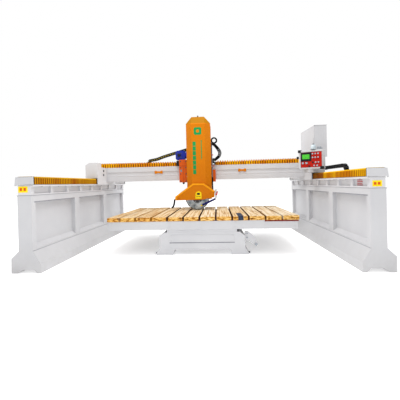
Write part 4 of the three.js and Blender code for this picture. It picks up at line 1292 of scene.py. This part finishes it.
def water_sleeve():
    """The blue hose over the water pipe's lower run."""
    line = smooth_line([(0.262, 0.2215, 0.871), (0.190, 0.221, 0.837), (0.120, 0.220, 0.804),
                        (0.040, 0.219, 0.769), (-0.012, 0.2183, 0.746)], 24)
    hose("water_sleeve", line, 0.0195, "blue_rubber", "head", 16)


def slide_details():
    """Cable ring, clamp, conduit and the bolts and gussets of the lift slide."""
    ring = Shape().hoop((0.2575, 0.530, 2.137), 0.056, 0.0170, turns=44)
    ring.rod((0.203, 0.530, 2.100), (0.232, 0.530, 2.098), 0.009, 12)
    ring.piece("cable_ring", "head", ["rubber"], smooth=True)
    clamp = Shape().rod((0.2055, 0.530, 2.064), (0.232, 0.530, 2.061), 0.031, 24)
    clamp.box((0.2052, 0.505, 2.020), (0.214, 0.552, 2.094))
    clamp.piece("bundle_clamp", "head", ["black_plastic"], bevel=0.002)
    conduit = [((0.2065, 0.520, 1.330), (0.2065, 0.520, 2.040), 0.009, 14)]
    rod_piece("slide_conduit", "head", conduit, "seam_grey")
    cock = [((0.209, 0.520, 1.819), (0.228, 0.532, 1.819), 0.012, 14)]
    rod_piece("slide_cock", "head", cock, "red_plastic", 0.001)
    places = [(x, 0.553, z) for x in (-0.318, 0.178) for z in spread(1.36, 2.05, 6)]
    bolts("slide_bolts", "head", places, (0, 1, 0), 0.006)
    left, thick = -0.268, 0.016
    front, low = 0.5525, 2.110
    gussets = Shape()
    for x in (left, 0.030):
        gussets.loops([[(a, front, low), (a, front, 2.165), (a, 0.640, low)] for a in (x, x + thick)])
    gussets.box((left, front, 2.094), (0.046, 0.640, low))
    gussets.piece("motor_shelf", "head", ["cast_grey"], bevel=0.002)
    lugs = [((x - 0.010, 0.405, 0.810), (x + 0.010, 0.431, 0.830)) for x in (-0.205, -0.025)]
    box_piece("bracket_lugs", "head", lugs, "cast_grey", 0)


def main_motor_details():
    """Fins, end shields, fan grille, terminal lid and flange bolts of the main motor."""
    x, z = MOTOR_AXIS
    fins = Shape()
    finned_barrel(fins, (x, 0.600, z), (x, 0.845, z), 0.150, 36, 0.011)
    fins.rods([((x, 0.5535, z), (x, 0.590, z), 0.163, 40), ((x, 0.590, z), (x, 0.602, z), 0.156, 40),
               ((x, 0.845, z), (x, 0.934, z), 0.162, 40)])
    fins.piece("main_motor_fins", "head", ["blue_paint"])
    grille = Shape()
    for radius in (0.050, 0.085, 0.120):
        grille.hoop((x, 0.936, z), radius, 0.003, turns=36, sides=6)
    grille.rod((x, 0.932, z), (x, 0.941, z), 0.022)
    grille.piece("fan_grille", "head", ["black_plastic"])
    low, high = (x - 0.066, 0.634, z + 0.192), (x + 0.066, 0.796, z + 0.203)
    plate("motor_terminal_lid", "head", low, high, "blue_paint", 0.003)
    places = around((x, 0.590, z), 0.145, 4, math.pi / 4)
    bolts("motor_flange_bolts", "head", places, (0, 1, 0), 0.011)


HOSE = [
    (0.206, 0.520, 1.332), (0.204, 0.518, 1.250), (0.204, 0.510, 1.170), (0.206, 0.496, 1.095),
    (0.208, 0.482, 1.035),
]
HOSE_THICK = 0.030


def supply_hose():
    """The black hose that brings water down the slide, and the pale pipe from it to the valve."""
    path = smooth_line(HOSE, 40)
    line = hose("supply_hose", path, HOSE_THICK / 2, "rubber", "head")
    feed = [((0.2075, 0.486, 1.050), (0.2085, 0.479, 1.016), 0.018, 16),
            ((0.208, 0.480, 1.026), (0.277, 0.236, 1.026), 0.009, 12)]
    rod_piece("valve_feed", "head", feed, "lamp", 0.001)


def spindle_details():
    """The nut and the flange screws of the blade."""
    x, _, z = BLADE_AXIS
    rod_piece("blade_nut", "blade_shaft", [((x, 0.206, z), (x, 0.229, z), 0.030, 6)], "cast_grey", 0.001)
    bolts("flange_screws", "blade_shaft", around((x, 0.2285, z), 0.080, 6), (0, -1, 0), 0.007)


column_marks()
cover_details()
guard_details()
water_sleeve()
slide_details()
main_motor_details()
supply_hose()
spindle_details()

# ------------------------------------------------------------------ carried-over CAD nodes

SOFT_EDGE = {
    "white_paint": 0.004, "orange_paint": 0.004, "saddle_orange": 0.003, "blue_paint": 0.004,
}
FINE_NODES = ("panel_face", "blade", "water_pipe", "drive_belt")
# A wider edge here would fill inner corners and touch the blade or the rail.
CLOSE_FITS = ("blade_guard", "left_truck", "right_truck")
NARROW_EDGE = 0.0015
# Painted light and shade: the column cover's paint is darker on its top, and the pedestal, tilt arm, beam,
# left truck and rail beds take lighter copies of the white paint.
OTHER_LOOK = {
    "column_cover": "cover_paint_shaded_top", "water_pipe": "water_line", "pedestal": "lit_pedestal_paint",
    "tilt_arm": "lit_pedestal_paint", "bridge_beam": "lit_white_paint", "left_truck": "lit_white_paint",
    "left_rail_bed": "lit_white_paint", "right_rail_bed": "lit_white_paint",
}


def dress_nodes():
    """Gives every CAD node its slot's material and rounds the edges of the larger ones."""
    slots = {row["node"]: row["material_slot"] for row in frame["record"]["subparts"]}
    for name, node in frame["nodes"].items():
        node.data.materials.clear()
        node.data.materials.append(MATERIALS[OTHER_LOOK.get(name, slots[name])])
        if node.hide_render or name in FINE_NODES:
            continue
        width = NARROW_EDGE if name in CLOSE_FITS else SOFT_EDGE.get(slots[name], NARROW_EDGE)
        soften(node, width, weld=True)


dress_nodes()

# ------------------------------------------------------------------ floor and light

FLOOR_SIZE = 60
FLOOR_GLOW = 0.42
LAMP_AT = Vector((0.0, -0.4, 6.2))
LAMP_SIZE = 3.0
LAMP_POWER = 240.0


def studio():
    """A bright pale floor and sky, with one large lamp overhead."""
    bpy.ops.mesh.primitive_plane_add(size=FLOOR_SIZE, location=(0, 0, 0))
    floor = bpy.context.object
    floor.name = "floor"
    s = Surface("floor_pale")
    tone = s.ramp(s.noise(0.6), (0.3, "f7f7f7"), (0.7, "fdfdfd"))
    s.links.new(tone, s.shader.inputs["Emission Color"])
    s.shader.inputs["Emission Strength"].default_value = FLOOR_GLOW
    floor.data.materials.append(s.finish(tone, 0.9))
    world = bpy.data.worlds.new("studio")
    world.use_nodes = True
    sky = world.node_tree.nodes["Background"]
    sky.inputs["Color"].default_value = (1.0, 1.0, 1.0, 1.0)
    sky.inputs["Strength"].default_value = 1.0
    bpy.context.scene.world = world
    bpy.context.scene.view_settings.view_transform = "Standard"
    data = bpy.data.lights.new("over", "AREA")
    data.size = LAMP_SIZE
    data.energy = LAMP_POWER
    lamp = bpy.data.objects.new("over", data)
    lamp.location = LAMP_AT
    lamp.rotation_euler = (-LAMP_AT).to_track_quat("-Z", "Y").to_euler()
    bpy.context.scene.collection.objects.link(lamp)


studio()
